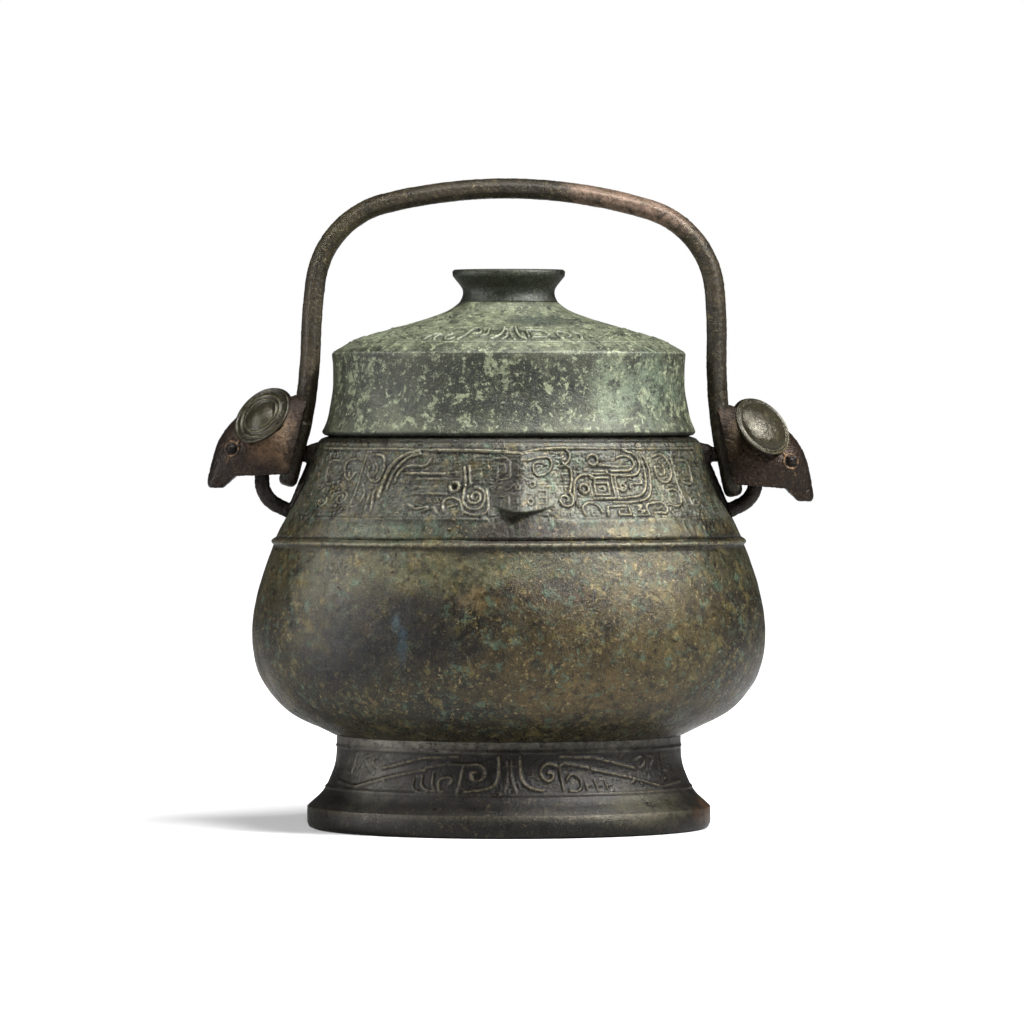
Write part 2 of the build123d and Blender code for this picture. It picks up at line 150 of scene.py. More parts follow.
class Drawing:
    """Raised lines of a cast ornament, gathered as straight pieces on the flattened wall."""

    def __init__(self, half_width, slope_at):
        self.half_width = half_width
        self.slope_at = slope_at
        self.pieces = []

    def line(self, points, width=1.1, height=0.6):
        """A stroke through points drawn in front view: units right and up from the band."""
        points = np.array(points, float) * DRAWN
        places = np.stack([
            along_oval(points[:, 0] / self.half_width) * self.half_width,
            self.slope_at(points[:, 1]),
        ], axis=1)
        for start, end in zip(places[:-1], places[1:]):
            self.pieces.append((start, end, width, height))

    def curve(self, points, width=1.1, height=0.6):
        self.line(smooth_run(points, 1.2), width, height)

    def spiral(self, centre, radius, start, turns, width=1.0, height=0.6, inner=0.25):
        """A coil that winds inwards from its radius, starting at an angle in degrees."""
        count = max(8, int(abs(turns) * 22))
        share = np.linspace(0, 1, count)
        reach = radius * (1 - (1 - inner) * share)
        angle = math.radians(start) + 2 * math.pi * turns * share
        across, up = centre
        points = np.stack([across + reach * np.cos(angle), up + reach * np.sin(angle)], axis=1)
        self.line(points, width, height)

    def ring(self, centre, radius, width=1.0, height=0.7):
        self.spiral(centre, radius, 0, 1.0, width, height, inner=1.0)

    def heights(self, across, up):
        """Relief height at flattened places, the tallest stroke winning."""
        field = np.zeros(across.shape)
        for start, end, width, height in self.pieces:
            reach = 0.36 * width + 0.3
            low = np.minimum(start, end) - reach
            high = np.maximum(start, end) + reach
            near = (across > low[0]) & (across < high[0]) & (up > low[1]) & (up < high[1])
            if not near.any():
                continue
            point = np.stack([across[near], up[near]], axis=1)
            run = end - start
            share = np.clip(((point - start) @ run) / max(run @ run, 1e-9), 0, 1)
            away = np.hypot(*(point - start - share[:, None] * run).T)
            rise = np.clip((reach - away) / 0.55, 0, 1)
            field[near] = np.maximum(field[near], height * rise * rise * (3 - 2 * rise))
        return field

    def scatter(self, box, cell, seed, height=0.3):
        """Fills a box with small worn hooks, the fine ground between the larger strokes."""
        rng = np.random.default_rng(seed)
        for x in np.arange(box[0], box[1], cell[0]):
            for y in np.arange(box[2], box[3], cell[1]):
                hook = np.array(HOOKS[rng.integers(len(HOOKS))]) * rng.choice([-1, 1], 2)
                hook = hook + (x, y) + rng.uniform(-0.8, 0.8, 2)
                self.line(hook, 0.5, height * rng.uniform(0.4, 1.3))


def blurred(field, reach):
    """A field averaged over a square of places either way."""
    for axis in (0, 1):
        total = np.zeros(field.shape)
        for step in range(-reach, reach + 1):
            total += np.roll(field, step, axis=axis)
        field = total / (2 * reach + 1)
    return field


def near_strokes(field):
    """How hollow each place is: high between close strokes, nothing on them or far away."""
    return np.clip(2.8 * blurred(field, 2) - 2.2 * field, 0, 1)


def over_ground(strokes, ground):
    """Strokes standing clear of the fine ground between them."""
    return np.maximum(strokes, ground * np.clip(1 - 3 * blurred(strokes, 2), 0, 1))


def grid_piece(name, rows, marks, wrap_rows=True, closed=False):
    """A smooth mesh through a grid of points whose columns close round, with attributes."""
    tall, wide = rows.shape[:2]
    if wrap_rows:
        rows = np.concatenate([rows, rows[:1]])
        marks = {key: np.concatenate([value, value[:1]]) for key, value in marks.items()}
        tall += 1
    mesh = bpy.data.meshes.new(name)
    index = np.arange(tall * wide).reshape(tall, wide)
    right = np.roll(index, -1, axis=1)
    quads = np.stack([index[:-1], right[:-1], right[1:], index[1:]], axis=-1).reshape(-1, 4)
    faces = len(quads)
    mesh.vertices.add(tall * wide)
    mesh.vertices.foreach_set("co", (rows.reshape(-1, 3) * MM).ravel())
    mesh.loops.add(faces * 4)
    mesh.loops.foreach_set("vertex_index", quads.ravel())
    mesh.polygons.add(faces)
    mesh.polygons.foreach_set("loop_start", np.arange(faces) * 4)
    mesh.polygons.foreach_set("use_smooth", np.ones(faces, bool))
    mesh.update(calc_edges=True)
    for key, value in marks.items():
        held = mesh.attributes.new(key, "FLOAT", "POINT")
        held.data.foreach_set("value", np.ascontiguousarray(value, float).ravel())
    mesh.validate()
    piece = bpy.data.objects.new(name, mesh)
    bpy.context.collection.objects.link(piece)
    tidy_mesh(piece, closed)
    return piece


def tidy_mesh(piece, fill=False):
    """Merges the mesh's shared points, closes open ends and faces it outwards."""
    bpy.ops.object.select_all(action="DESELECT")
    piece.select_set(True)
    bpy.context.view_layer.objects.active = piece
    bpy.ops.object.mode_set(mode="EDIT")
    bpy.ops.mesh.select_all(action="SELECT")
    bpy.ops.mesh.remove_doubles(threshold=2e-6)
    if fill:
        bpy.ops.mesh.select_all(action="DESELECT")
        bpy.ops.mesh.select_non_manifold()
        bpy.ops.mesh.edge_face_add()
        bpy.ops.mesh.select_all(action="SELECT")
    bpy.ops.mesh.normals_make_consistent(inside=False)
    bpy.ops.object.mode_set(mode="OBJECT")


def round_oval(profile, columns):
    """Where the surface lumps are read: the profile turned round, before it is narrowed."""
    turns = even_turns(columns)
    radius = profile[:, 0][:, None]
    height = np.repeat(profile[:, 1][:, None], columns, axis=1)
    return np.stack([radius * np.cos(turns), radius * np.sin(turns), height], axis=-1)


def oval_skin(name, profile, columns, relief=None, swell=0.0, wear_and_painted_highlight=None, shaded=None):
    """Turns a closed profile into an oval skin and raises the relief along its normals.
    The pale rows add wear, and on the bowl's bead a painted highlight; the shaded rows add painted
    shade."""
    turns = even_turns(columns)
    radius = profile[:, 0][:, None]
    height = np.repeat(profile[:, 1][:, None], columns, axis=1)
    points = np.stack([
        radius * np.cos(turns), DEPTH_RATIO * radius * np.sin(turns), height,
    ], axis=-1)
    if relief is None:
        relief = np.zeros(height.shape)
    tangent = np.roll(profile, -1, axis=0) - np.roll(profile, 1, axis=0)
    tangent /= np.maximum(np.hypot(*tangent.T), 1e-9)[:, None]
    outward = np.stack([
        tangent[:, 1][:, None] * np.cos(turns),
        tangent[:, 1][:, None] * np.sin(turns) / DEPTH_RATIO,
        np.repeat(-tangent[:, 0][:, None], columns, axis=1),
    ], axis=-1)
    outward /= np.linalg.norm(outward, axis=-1, keepdims=True)
    points = points + outward * (relief + swell)[..., None]
    # The relief mark carries wear and painted highlights; the hollow mark carries hollows and
    # painted shade.
    bright = relief if wear_and_painted_highlight is None else np.maximum(relief, wear_and_painted_highlight[:, None])
    dark = near_strokes(relief)
    dark = dark if shaded is None else np.maximum(dark, shaded[:, None])
    return grid_piece(name, points, {"relief": bright, "hollow": dark})


def thinned(run, low, high, coarse):
    """A finely sampled run that keeps every point between two heights and few elsewhere."""
    travel = slope_length(run)
    kept = [0]
    for i in range(1, len(run) - 1):
        inside = low <= run[i, 1] <= high
        if inside or travel[i] - travel[kept[-1]] >= coarse:
            kept.append(i)
    return run[kept + [len(run) - 1]]


def slope_length(profile):
    """Distance travelled along a profile."""
    return np.concatenate([[0], np.cumsum(np.hypot(*np.diff(profile, axis=0).T))])


# Outlines, from the foot's sole up. Each pair is a half width and a height.
FOOT_FLARE = [
    (86.9, 9.4), (84.1, 12.0), (81.3, 14.6), (79.3, 17.2), (76.8, 22.4), (75.0, 27.5),
    (74.3, 33.0), (74.2, 40.4),
]
BELLY = [
    (75.6, 40.4), (80.8, 43.0), (91.4, 48.2), (98.3, 53.3), (102.8, 58.5), (106.2, 63.6),
    (109.5, 73.0), (110.5, 81.5), (109.7, 94.6), (107.3, 104.9), (103.8, 115.2), (101.3, 122.1),
]
RIDGE = [(101.3, 122.1), (102.0, 122.7), (102.3, 123.5), (101.7, 124.4), (100.2, 125.3)]
COLLAR = [
    (100.2, 125.3), (95.5, 134.5), (91.6, 141.0), (87.2, 150.2), (85.6, 156.0), (84.2, 161.0),
    (82.6, 165.0), (81.6, 166.8),
]
LID_SKIRT = [
    (80.4, 170.7), (79.3, 173.0), (77.8, 177.2), (76.8, 182.3), (75.9, 187.5), (75.7, 195.0),
    (75.9, 200.4), (76.2, 203.6),
]
LID_ROOF = [
    (75.4, 205.0), (69.9, 208.1), (63.9, 210.7), (55.7, 213.3), (46.7, 215.9), (37.8, 218.4),
    (30.1, 221.0), (24.5, 223.6), (21.2, 226.2),
]
KNOB_SIDE = [(21.2, 226.2), (19.9, 229.0), (19.9, 231.6), (21.3, 233.9), (24.1, 237.4)]


def neck_band():
    """The collar's ornament: a horned beast's face split either side of the nose."""
    collar = smooth_run(COLLAR, 0.2)
    travel = slope_length(collar)

    def slope_at(drop):
        return np.interp(NECK_BAND_TOP + drop, collar[:, 1], travel)

    art = Drawing(NECK_BAND, slope_at)
    nose = Drawing(NECK_BAND, slope_at)
    ground = Drawing(NECK_BAND, slope_at)
    ground.scatter((-206, 207, -65, -2), (7.6, 6.6), 40, 0.34)
    border_top(art)
    border_top(nose)
    eye_panel(art)
    left_panel(art)
    nose_strokes(nose)
    return art, nose, ground


def border_top(art):
    """Raised borders above and below the band, as cast, a little uneven."""
    art.line([(-205, 0), (-120, 0), (-84, -1)], 1.2, 0.45)
    art.curve([(-84, -1), (-40, -1.5), (-10, -2.5), (14, -4)], 1.5, 0.8)
    art.curve([(14, -4), (30, -1), (48, 0.5), (62, 1)], 1.5, 0.8)
    art.line([(62, 1), (110, 0.5), (205, 0)], 1.1, 0.4)
    art.line([(-205, -70), (-20, -70)], 0.8, 0.3)
    art.line([(45, -71), (205, -70)], 0.8, 0.3)


def eye_panel(art):
    """Right of the nose: the eye, its brackets and pupil, nested hooks and small scrolls."""
    art.curve([(62, 0), (66, -6), (62, -14), (54, -18)])
    art.curve([(68, -56), (67, -42), (70, -31), (78, -26), (88, -28), (90, -33)], 1.3, 0.7)
    art.ring((77.5, -40), 4.6, 1.3, 1.0)
    art.spiral((57, -51), 8.5, 60, -1.35, 1.2)
    art.line([(62, -44), (66, -30), (66, -20), (58, -14)])
    art.line([(89, -34), (103, -34), (103, -46), (89, -46), (89, -34)], 1.2)
    art.line([(94, -38), (99, -38), (99, -42), (94, -42)], 0.9, 0.4)
    art.line([(86, -29), (104, -29)], 1.0)
    art.line([(88, -25), (104, -25), (104, -22), (90, -22)], 1.0)
    art.line([(108, -28), (108, -50)], 1.2)
    art.line([(111.5, -28), (111.5, -50)], 1.0)
    art.spiral((118, -38), 4.8, 200, 1.3, 1.1)
    art.line([(126, -42), (126, -35), (139, -35), (138, -31)], 1.0)
    art.curve([
        (108, -22), (124, -22), (131, -20), (134, -15), (131, -9), (124, -7), (116, -9),
    ], 1.3)
    art.curve([(108, -26), (126, -27), (137, -24), (140, -15), (136, -6), (126, -2)], 1.2)
    art.curve([
        (86, -50), (104, -50), (124, -49), (138, -44), (143, -34), (144, -20), (141, -6),
    ], 1.4, 0.7)
    art.curve([(104, -54), (128, -53), (142, -48), (148, -36), (149, -20), (146, -8)], 1.2)
    art.curve([(84, -10), (88, -6), (94, -7), (95, -13), (90, -16), (86, -14)], 1.3)
    art.line([(96, -16), (108, -17)], 1.2)
    art.curve([(74, -66), (73, -58), (80, -54), (88, -57), (91, -64)], 1.2)
    art.line([
        (96, -67), (97, -58), (118, -57), (118, -66), (107, -66), (107, -61), (112, -61),
    ], 1.1)
    art.line([(124, -57), (132, -57), (126, -62), (134, -62), (125, -67), (134, -67)], 1.1)
    art.curve([(136, -66), (136, -58), (146, -54), (155, -56), (155, -63), (146, -64)], 1.2)
    art.line([(142, -60), (151, -59)], 0.9, 0.5)
    art.curve([
        (156, -8), (166, -6), (172, -14), (171, -30), (163, -34), (157, -28), (156, -18),
    ], 1.2)
    art.curve([(163, -14), (166, -18), (165, -26), (161, -26)], 1.0, 0.5)
    art.line([(176, -6), (177, -30), (178, -54)], 1.0, 0.5)
    art.curve([(164, -42), (172, -42), (174, -52), (168, -58), (160, -56)], 1.1)
    art.curve([(184, -12), (191, -12), (195, -24), (191, -36), (184, -34)], 1.0, 0.5)
    art.spiral((188, -54), 5.5, 90, 1.3, 1.0, 0.5)


def left_panel(art):
    """Left of the nose: the worn half, with its coil, eye and long nested hooks."""
    art.line([(-42, -17), (-40, -36)], 1.2)
    art.spiral((-34, -48), 7.5, 170, 1.5, 1.2)
    art.curve([
        (-47, -19), (-45, -36), (-46, -50), (-40, -59),
        (-30, -60), (-25, -54), (-26, -42), (-35, -38),
    ], 1.2)
    art.curve([(-44, -63), (-32, -66), (-22, -63), (-21, -50), (-23, -40)], 1.2)
    art.ring((-56, -38), 4.6, 1.3, 1.0)
    art.curve([(-64, -62), (-64, -51), (-56, -49), (-48, -53), (-46, -61)], 1.2)
    art.line([(-60, -58), (-52, -56)], 0.9, 0.5)
    art.line([(-109, -24), (-68, -25)], 1.3, 0.6)
    art.line([(-96, -30), (-66, -30)], 1.0, 0.4)
    art.line([(-99, -38), (-82, -38)], 0.9, 0.4)
    art.line([(-98, -45), (-64, -45)], 1.0, 0.5)
    art.curve([(-132, -49), (-131, -32), (-125, -17), (-114, -7), (-98, -2)], 1.8, 0.9)
    art.curve([(-126, -42), (-123, -27), (-115, -15), (-107, -8), (-96, -5)], 1.3, 0.7)
    art.curve([(-119, -33), (-115, -22), (-106, -17), (-93, -17), (-86, -14), (-84, -10)], 1.3, 0.6)
    art.line([(-101, -55), (-92, -60), (-80, -58)], 1.2, 0.5)
    art.line([(-84, -62), (-74, -58), (-70, -64)], 1.1, 0.5)
    art.curve([(-147, -6), (-137, -7), (-133, -20), (-139, -33), (-147, -30), (-149, -18)], 1.2)
    art.curve([(-143, -14), (-140, -20), (-143, -27)], 1.0, 0.5)
    art.line([(-139, -42), (-135, -62)], 1.1)
    art.line([(-143, -40), (-141, -62)], 1.0, 0.5)
    art.curve([(-152, -36), (-148, -46), (-152, -58), (-160, -58)], 1.1)
    art.line([(-155, -6), (-157, -30), (-158, -62)], 1.0, 0.5)
    art.curve([(-165, -10), (-172, -12), (-174, -26), (-168, -32), (-163, -24)], 1.1)
    art.spiral((-170, -50), 6.5, 90, -1.4, 1.1)
    art.curve([(-184, -12), (-191, -12), (-195, -24), (-191, -36), (-184, -34)], 1.0, 0.5)
    art.spiral((-188, -54), 5.5, 90, -1.3, 1.0, 0.5)


def nose_strokes(art):
    """Marks on the two faces of the nose: a square coil and hooks left of the ridge."""
    art.line([(-15, -9), (-3, -9), (1, -13), (1, -29), (-11, -31)], 1.1, 0.5)
    art.line([(-11, -29), (-11, -15), (-4, -15), (-3, -23), (-8, -23)], 1.0, 0.5)
    art.curve([(-9, -38), (0, -40), (5, -36), (9, -34)], 1.0, 0.5)
    art.ring((9, -38), 2.2, 0.9, 0.5)
    art.line([(-12, -47), (0, -47), (0, -61)], 1.0, 0.5)
    art.line([(-8, -52), (-8, -60)], 1.0, 0.4)
    art.curve([
        (19, -11), (32, -8), (41, -9), (43, -17),
        (38, -24), (30, -26), (25, -21), (26, -14), (33, -13),
    ])
    art.ring((24, -35), 2.6, 1.0, 0.6)
    art.ring((22, -52), 2.8, 1.0, 0.6)
    art.line([(30, -41), (38, -41), (38, -54), (30, -54)], 1.0, 0.5)
    art.line([(31, -48), (38, -48)], 1.0, 0.5)


def lid_band():
    """The roof's ornament: small hooks and scrolls either side of a central arrow."""
    roof = smooth_run(LID_ROOF, 0.2)
    travel = slope_length(roof)

    def slope_at(rise):
        return np.interp(ROOF_BAND_FOOT + rise, roof[:, 1], travel)

    art = Drawing(ROOF_BAND, slope_at)
    ground = Drawing(ROOF_BAND, slope_at)
    ground.scatter((-146, 147, 2, 13), (7.6, 5.4), 41, 0.28)
    for y in (-1, 13.5):
        art.line([(-150, y), (150, y)], 0.9, 0.35)
    art.curve([(-17, 1), (-10, 4), (-6, 9), (-5, 13)], 1.4, 0.8)
    art.curve([(16, 1), (11, 4), (9, 9), (8, 13)], 1.4, 0.8)
    art.curve([(-6, 1), (-2, 4), (-1, 10)], 1.2)
    art.curve([(6, 1), (3, 4), (2, 10)], 1.2)
    art.line([(-3, 6), (4, 6)], 1.2)
    art.line([(-4, 11), (5, 11)], 1.2)
    art.curve([(-28, 4), (-22, 6), (-23, 12)], 1.4)
    art.curve([(-48, 1), (-44, 5), (-42, 10), (-34, 12), (-30, 8), (-36, 6)], 1.4)
    art.curve([(-58, 7), (-62, 4), (-58, 1), (-53, 3)], 1.3)
    art.curve([(-68, 6), (-72, 4), (-70, 1)], 1.3)
    art.curve([(-80, 1), (-78, 5), (-72, 7)], 1.3)
    art.line([(20, 4), (20, 10), (36, 10), (42, 6), (36, 3), (24, 3)], 1.3)
    art.line([(26, 6), (32, 6)], 1.0)
    art.curve([(52, 2), (50, 6), (58, 8), (62, 5), (58, 3)], 1.3)
    art.curve([(68, 8), (72, 5), (70, 2)], 1.3)
    for side in (-1, 1):
        art.line([(side * 88, 3), (side * 112, 9)], 1.2, 0.4)
        art.line([(side * 96, 2), (side * 120, 8)], 1.2, 0.4)
        art.curve([(side * 122, 4), (side * 128, 9), (side * 134, 6)], 1.2, 0.4)
    return art, ground


def foot_band():
    """The foot's ornament: two long-tailed dragons that meet at the front."""
    flare = smooth_run(FOOT_FLARE, 0.2)
    travel = slope_length(flare)

    def slope_at(drop):
        return np.interp(FOOT_BAND_TOP + drop, flare[:, 1], travel)

    art = Drawing(FOOT_BAND, slope_at)
    ground = Drawing(FOOT_BAND, slope_at)
    ground.scatter((-170, 171, -39, -3), (8, 6.8), 42, 0.24)
    art.line([(-190, 0), (190, 0)], 1.2, 0.35)
    art.line([(-190, -42), (190, -42)], 1.2, 0.35)
    art.curve([(-10, -4), (-10, -20), (-14, -32), (-26, -37), (-42, -39)], 1.5, 0.7)
    art.curve([(12, -4), (12, -18), (15, -30), (24, -36), (34, -38)], 1.5, 0.7)
    art.curve([(-4, -39), (-1, -24), (-2, -8)], 1.1, 0.5)
    art.curve([(7, -39), (3, -24), (3, -8)], 1.1, 0.5)
    art.line([(-6, -14), (8, -14)], 1.0, 0.4)
    art.curve([
        (-38, -12), (-30, -12), (-24, -20), (-28, -27), (-36, -27), (-38, -21), (-33, -19),
    ], 1.4, 0.7)
    art.curve([(-85, -16), (-62, -12), (-44, -12), (-38, -12)], 1.3, 0.6)
    art.line([(-46, -13), (-48, -24), (-50, -39)], 1.3, 0.6)
    art.curve([(-68, -38), (-70, -29), (-64, -25), (-57, -27), (-59, -32)], 1.3, 0.6)
    art.curve([(-76, -22), (-76, -32), (-72, -38), (-64, -39)], 1.2, 0.6)
    art.curve([(-87, -24), (-86, -34), (-80, -38), (-72, -39)], 1.2, 0.6)
    art.curve([(-95, -27), (-94, -37), (-88, -40), (-80, -40)], 1.2, 0.5)
    art.curve([
        (50, -14), (40, -11), (33, -17), (35, -26), (42, -28), (45, -22), (40, -20),
    ], 1.4, 0.7)
    art.line([(50, -14), (58, -11), (82, -16)], 1.2, 0.6)
    art.line([(52, -14), (54, -38)], 1.2, 0.6)
    art.curve([(58, -28), (64, -22), (71, -26), (72, -34), (67, -39), (60, -38)], 1.3, 0.6)
    for x in (76, 86, 96):
        art.line([(x, -28), (x + 2, -39), (x + 7, -39)], 1.1, 0.5)
        art.line([(x + 1, -34), (x + 6, -33)], 1.0, 0.4)
    for side in (-1, 1):
        art.line([(side * 52, -4), (side * 88, -6), (side * 130, -18)], 1.4, 0.6)
        art.line([(side * 86, -18), (side * 120, -26), (side * 152, -38)], 1.4, 0.6)
        art.line([(side * 152, -38), (side * 172, -34)], 1.1, 0.5)
        art.curve([
            (side * 132, -10), (side * 138, -7), (side * 140, -14), (side * 135, -18),
        ], 1.1, 0.5)
        art.curve([(side * 144, -6), (side * 149, -8), (side * 147, -16)], 1.1, 0.5)
        art.line([(side * 158, -5), (side * 161, -24)], 1.1, 0.5)
        art.curve([(side * 124, -32), (side * 130, -29), (side * 133, -35)], 1.1, 0.5)
    return art, ground


def round_places(columns):
    """Arc length from the front over the half width, for each column of a skin."""
    return np.arange(columns) * 4 * along_oval(1.0) / columns


def banded(profile, run, art, columns, ground=None):
    """Relief over a whole profile, from drawings on one run, front and back alike."""
    first = int(np.argmin(np.hypot(*(profile - run[0]).T)))
    last = int(np.argmin(np.hypot(*(profile - run[-1]).T)))
    half = art.half_width * 2 * along_oval(1.0)
    across = np.mod(round_places(columns) * art.half_width + half / 2, half) - half / 2
    field = np.zeros((len(profile), columns))
    travel = slope_length(profile[first : last + 1])
    up = np.repeat(travel[:, None], columns, axis=1)
    across = np.broadcast_to(across, up.shape).copy()
    strokes = art.heights(across, up)
    if ground:
        strokes = over_ground(strokes, ground.heights(across, up))
    field[first : last + 1] = strokes
    return field


def waves(points, seed, grain, depth, count=14):
    """Soft lumps of a cast and corroded surface, from crossed waves in space."""
    rng = np.random.default_rng(seed)
    total = np.zeros(points.shape[:-1])
    for _ in range(count):
        heading = rng.normal(size=3)
        heading /= np.linalg.norm(heading)
        wave = grain * rng.uniform(0.6, 1.6)
        total += np.sin(points @ heading * 2 * math.pi / wave + rng.uniform(0, 2 * math.pi))
    return depth * total / math.sqrt(count)


def hex_colour(text):
    """An sRGB hex value as linear red, green, blue and alpha."""
    parts = [int(text[i : i + 2], 16) / 255 for i in (0, 2, 4)]
    return [p / 12.92 if p <= 0.04045 else ((p + 0.055) / 1.055) ** 2.4 for p in parts] + [1.0]


def add_node(tree, kind, links=None, out=0, **settings):
    """Adds a node, sets its options, gives each input a value or a link, and returns one of
    its outputs, if it has any."""
    node = tree.nodes.new(kind)
    for key, value in settings.items():
        setattr(node, key, value)
    for key, value in (links or {}).items():
        socket = node.inputs[key]
        if isinstance(value, bpy.types.NodeSocket):
            tree.links.new(value, socket)
        else:
            socket.default_value = value
    return node.outputs[out] if len(node.outputs) else None


NOISE = "ShaderNodeTexNoise"
RANGE = "ShaderNodeMapRange"
MATHS = "ShaderNodeMath"
VECTORS = "ShaderNodeVectorMath"

# The lumps that every patina is broken by: an offset of the pattern in metres, the size of
# its lumps in millimetres, detail, roughness and distortion.
PATINA_LUMPS = {
    "broad": ((0, 0, 0), 44, 6, 0.62, 0.5),
    "cloud": ((0, 0, 0), 11, 9, 0.72, 0.2),
    "breakup": ((0, 0, 0), 4.2, 8, 0.78, 0.0),
    "grain": ((0, 0, 0), 0.65, 3, 0.7, 0.0),
    "speck": ((0.7, 0.2, 0.4), 1.7, 5, 0.75, 0.0),
}
WARP_MM = 15


def bronze_patina(
    name, tones, blooms, patches=(), zones=(), accents=(),
    worn="8d8766", recess="191713", crust=0.5, gloss=(0.3, 0.6), metal=0.45,
):
    """Cast tin bronze under centuries of mineral patina, lightly waxed. Two broad tones are
    broken by crisp blooms of other minerals, down to grains; raised edges are worn pale and
    hollows keep dark earth, while rows a skin marks with painted highlights and painted shade
    take the same pale and dark tones, and some patches are painted highlights and painted
    shade; smooth places shine softly and crusted ones are matt."""
    material = bpy.data.materials.new(name)
    material.use_nodes = True
    tree = material.node_tree
    tree.nodes.clear()
    place = add_node(tree, "ShaderNodeTexCoord", out="Object")
    lumps = {}
    bloom_lumps = {
        step: ((0.31 * step + 0.17, 0.23 * step, 0.41 * step), bloom[0], 9, 0.75, 0.3)
        for step, bloom in enumerate(blooms)
    }
    for key, (offset, size, detail, rough, bent) in {**PATINA_LUMPS, **bloom_lumps}.items():
        moved = place
        if any(offset):
            moved = add_node(tree, VECTORS, {0: place, 1: offset}, operation="ADD")
        lumps[key] = add_node(tree, NOISE, {
            "Vector": moved, "Scale": 1 / (size * MM), "Detail": detail,
            "Roughness": rough, "Distortion": bent,
        })
    warp = edge_warp(tree, place)
    breakup, grain, speck = lumps["breakup"], lumps["grain"], lumps["speck"]

    # Layers are shares and tones, laid one over the other.
    layers = [(add_node(tree, RANGE, {0: lumps["broad"], 1: 0.42, 2: 0.58}), tones[1])]
    layers += zone_layers(tree, place, warp, breakup, zones)
    layers += patch_layers(tree, place, warp, breakup, patches)
    for step, (_, edge, tone, strength) in enumerate(blooms):
        links = {0: lumps[step], 1: edge, 2: edge + 0.05, 4: strength}
        layers.append((add_node(tree, RANGE, links), tone))
    layers += patch_layers(tree, place, warp, breakup, accents)

    relief = add_node(tree, "ShaderNodeAttribute", out="Fac", attribute_name="relief")
    hollow = add_node(tree, "ShaderNodeAttribute", out="Fac", attribute_name="hollow")
    raised = add_node(tree, RANGE, {0: relief, 1: 0.3, 2: 0.8})
    patchy = add_node(tree, RANGE, {0: speck, 1: 0.42, 2: 0.56, 3: 0.1, 4: 0.75})
    rougher = add_node(tree, RANGE, {0: lumps["cloud"], 1: 0.42, 2: 0.60, 3: 0.25, 4: 1.0})
    dark = add_node(tree, RANGE, {0: speck, 1: 0.48, 2: 0.40, 4: crust})
    pale = add_node(tree, RANGE, {0: grain, 1: 0.54, 2: 0.64, 4: crust * 0.4})
    # The hollow layer paints dark earth in hollows and painted shade in rows a skin marks; the
    # relief layer paints wear on raised strokes and a painted highlight on the bowl's bead.
    layers += [
        (add_node(tree, RANGE, {0: hollow, 1: 0.05, 2: 0.6, 4: 0.85}), recess),
        (add_node(tree, MATHS, {0: raised, 1: patchy}, operation="MULTIPLY"), worn),
        (add_node(tree, MATHS, {0: dark, 1: rougher}, operation="MULTIPLY"), recess),
        (add_node(tree, MATHS, {0: pale, 1: rougher}, operation="MULTIPLY"), worn),
        (add_node(tree, RANGE, {0: grain, 1: 0.46, 2: 0.36, 4: crust * 0.7}), recess),
    ]
    colour = hex_colour(tones[0])
    for share, tone in layers:
        links = {0: share, 6: colour, 7: hex_colour(tone)}
        colour = add_node(tree, "ShaderNodeMix", links, out=2, data_type="RGBA")

    matt = weighted(tree, lumps["cloud"], 0.6, breakup, 0.4)
    rough = add_node(tree, RANGE, {0: matt, 1: 0.4, 2: 0.6, 3: gloss[0], 4: gloss[1]})
    high = weighted(tree, speck, 0.9, grain, 0.5)
    bump = add_node(
        tree, "ShaderNodeBump", {"Strength": 1.0, "Distance": 0.0006 * crust, "Height": high}
    )
    shader = add_node(tree, "ShaderNodeBsdfPrincipled", {
        "Base Color": colour, "Roughness": rough, "Metallic": metal, "Normal": bump,
    })
    add_node(tree, "ShaderNodeOutputMaterial", {0: shader})
    return material


def weighted(tree, first, first_share, second, second_share):
    """Two lump patterns added, each by its share."""
    one = add_node(tree, MATHS, {0: first, 1: first_share}, operation="MULTIPLY")
    other = add_node(tree, MATHS, {0: second, 1: second_share}, operation="MULTIPLY")
    return add_node(tree, MATHS, {0: one, 1: other}, operation="ADD")


def ragged(tree, share, breakup, low, high, strength):
    """A share eaten away by the breakup lumps to a quarter of its strength."""
    links = {0: breakup, 1: low, 2: high, 3: strength * 0.25, 4: strength}
    return add_node(
        tree, MATHS, {0: share, 1: add_node(tree, RANGE, links)}, operation="MULTIPLY"
    )


def zone_layers(tree, place, warp, breakup, zones):
    """Ragged belts of other minerals between two heights."""
    layers = []
    for low, high, tone, strength in zones:
        links = {0: warp, 1: (0.5, 0.5, 0.25), 2: place}
        bent = add_node(tree, VECTORS, links, operation="MULTIPLY_ADD")
        height = add_node(tree, "ShaderNodeSeparateXYZ", {0: bent}, out=2)
        rise = add_node(tree, RANGE, {0: height, 1: (low - 2) * MM, 2: (low + 2) * MM})
        fall = add_node(tree, RANGE, {0: height, 1: (high + 2) * MM, 2: (high - 2) * MM})
        fall = ragged(tree, fall, breakup, 0.38, 0.56, strength)
        layers.append((add_node(tree, MATHS, {0: rise, 1: fall}, operation="MULTIPLY"), tone))
    return layers


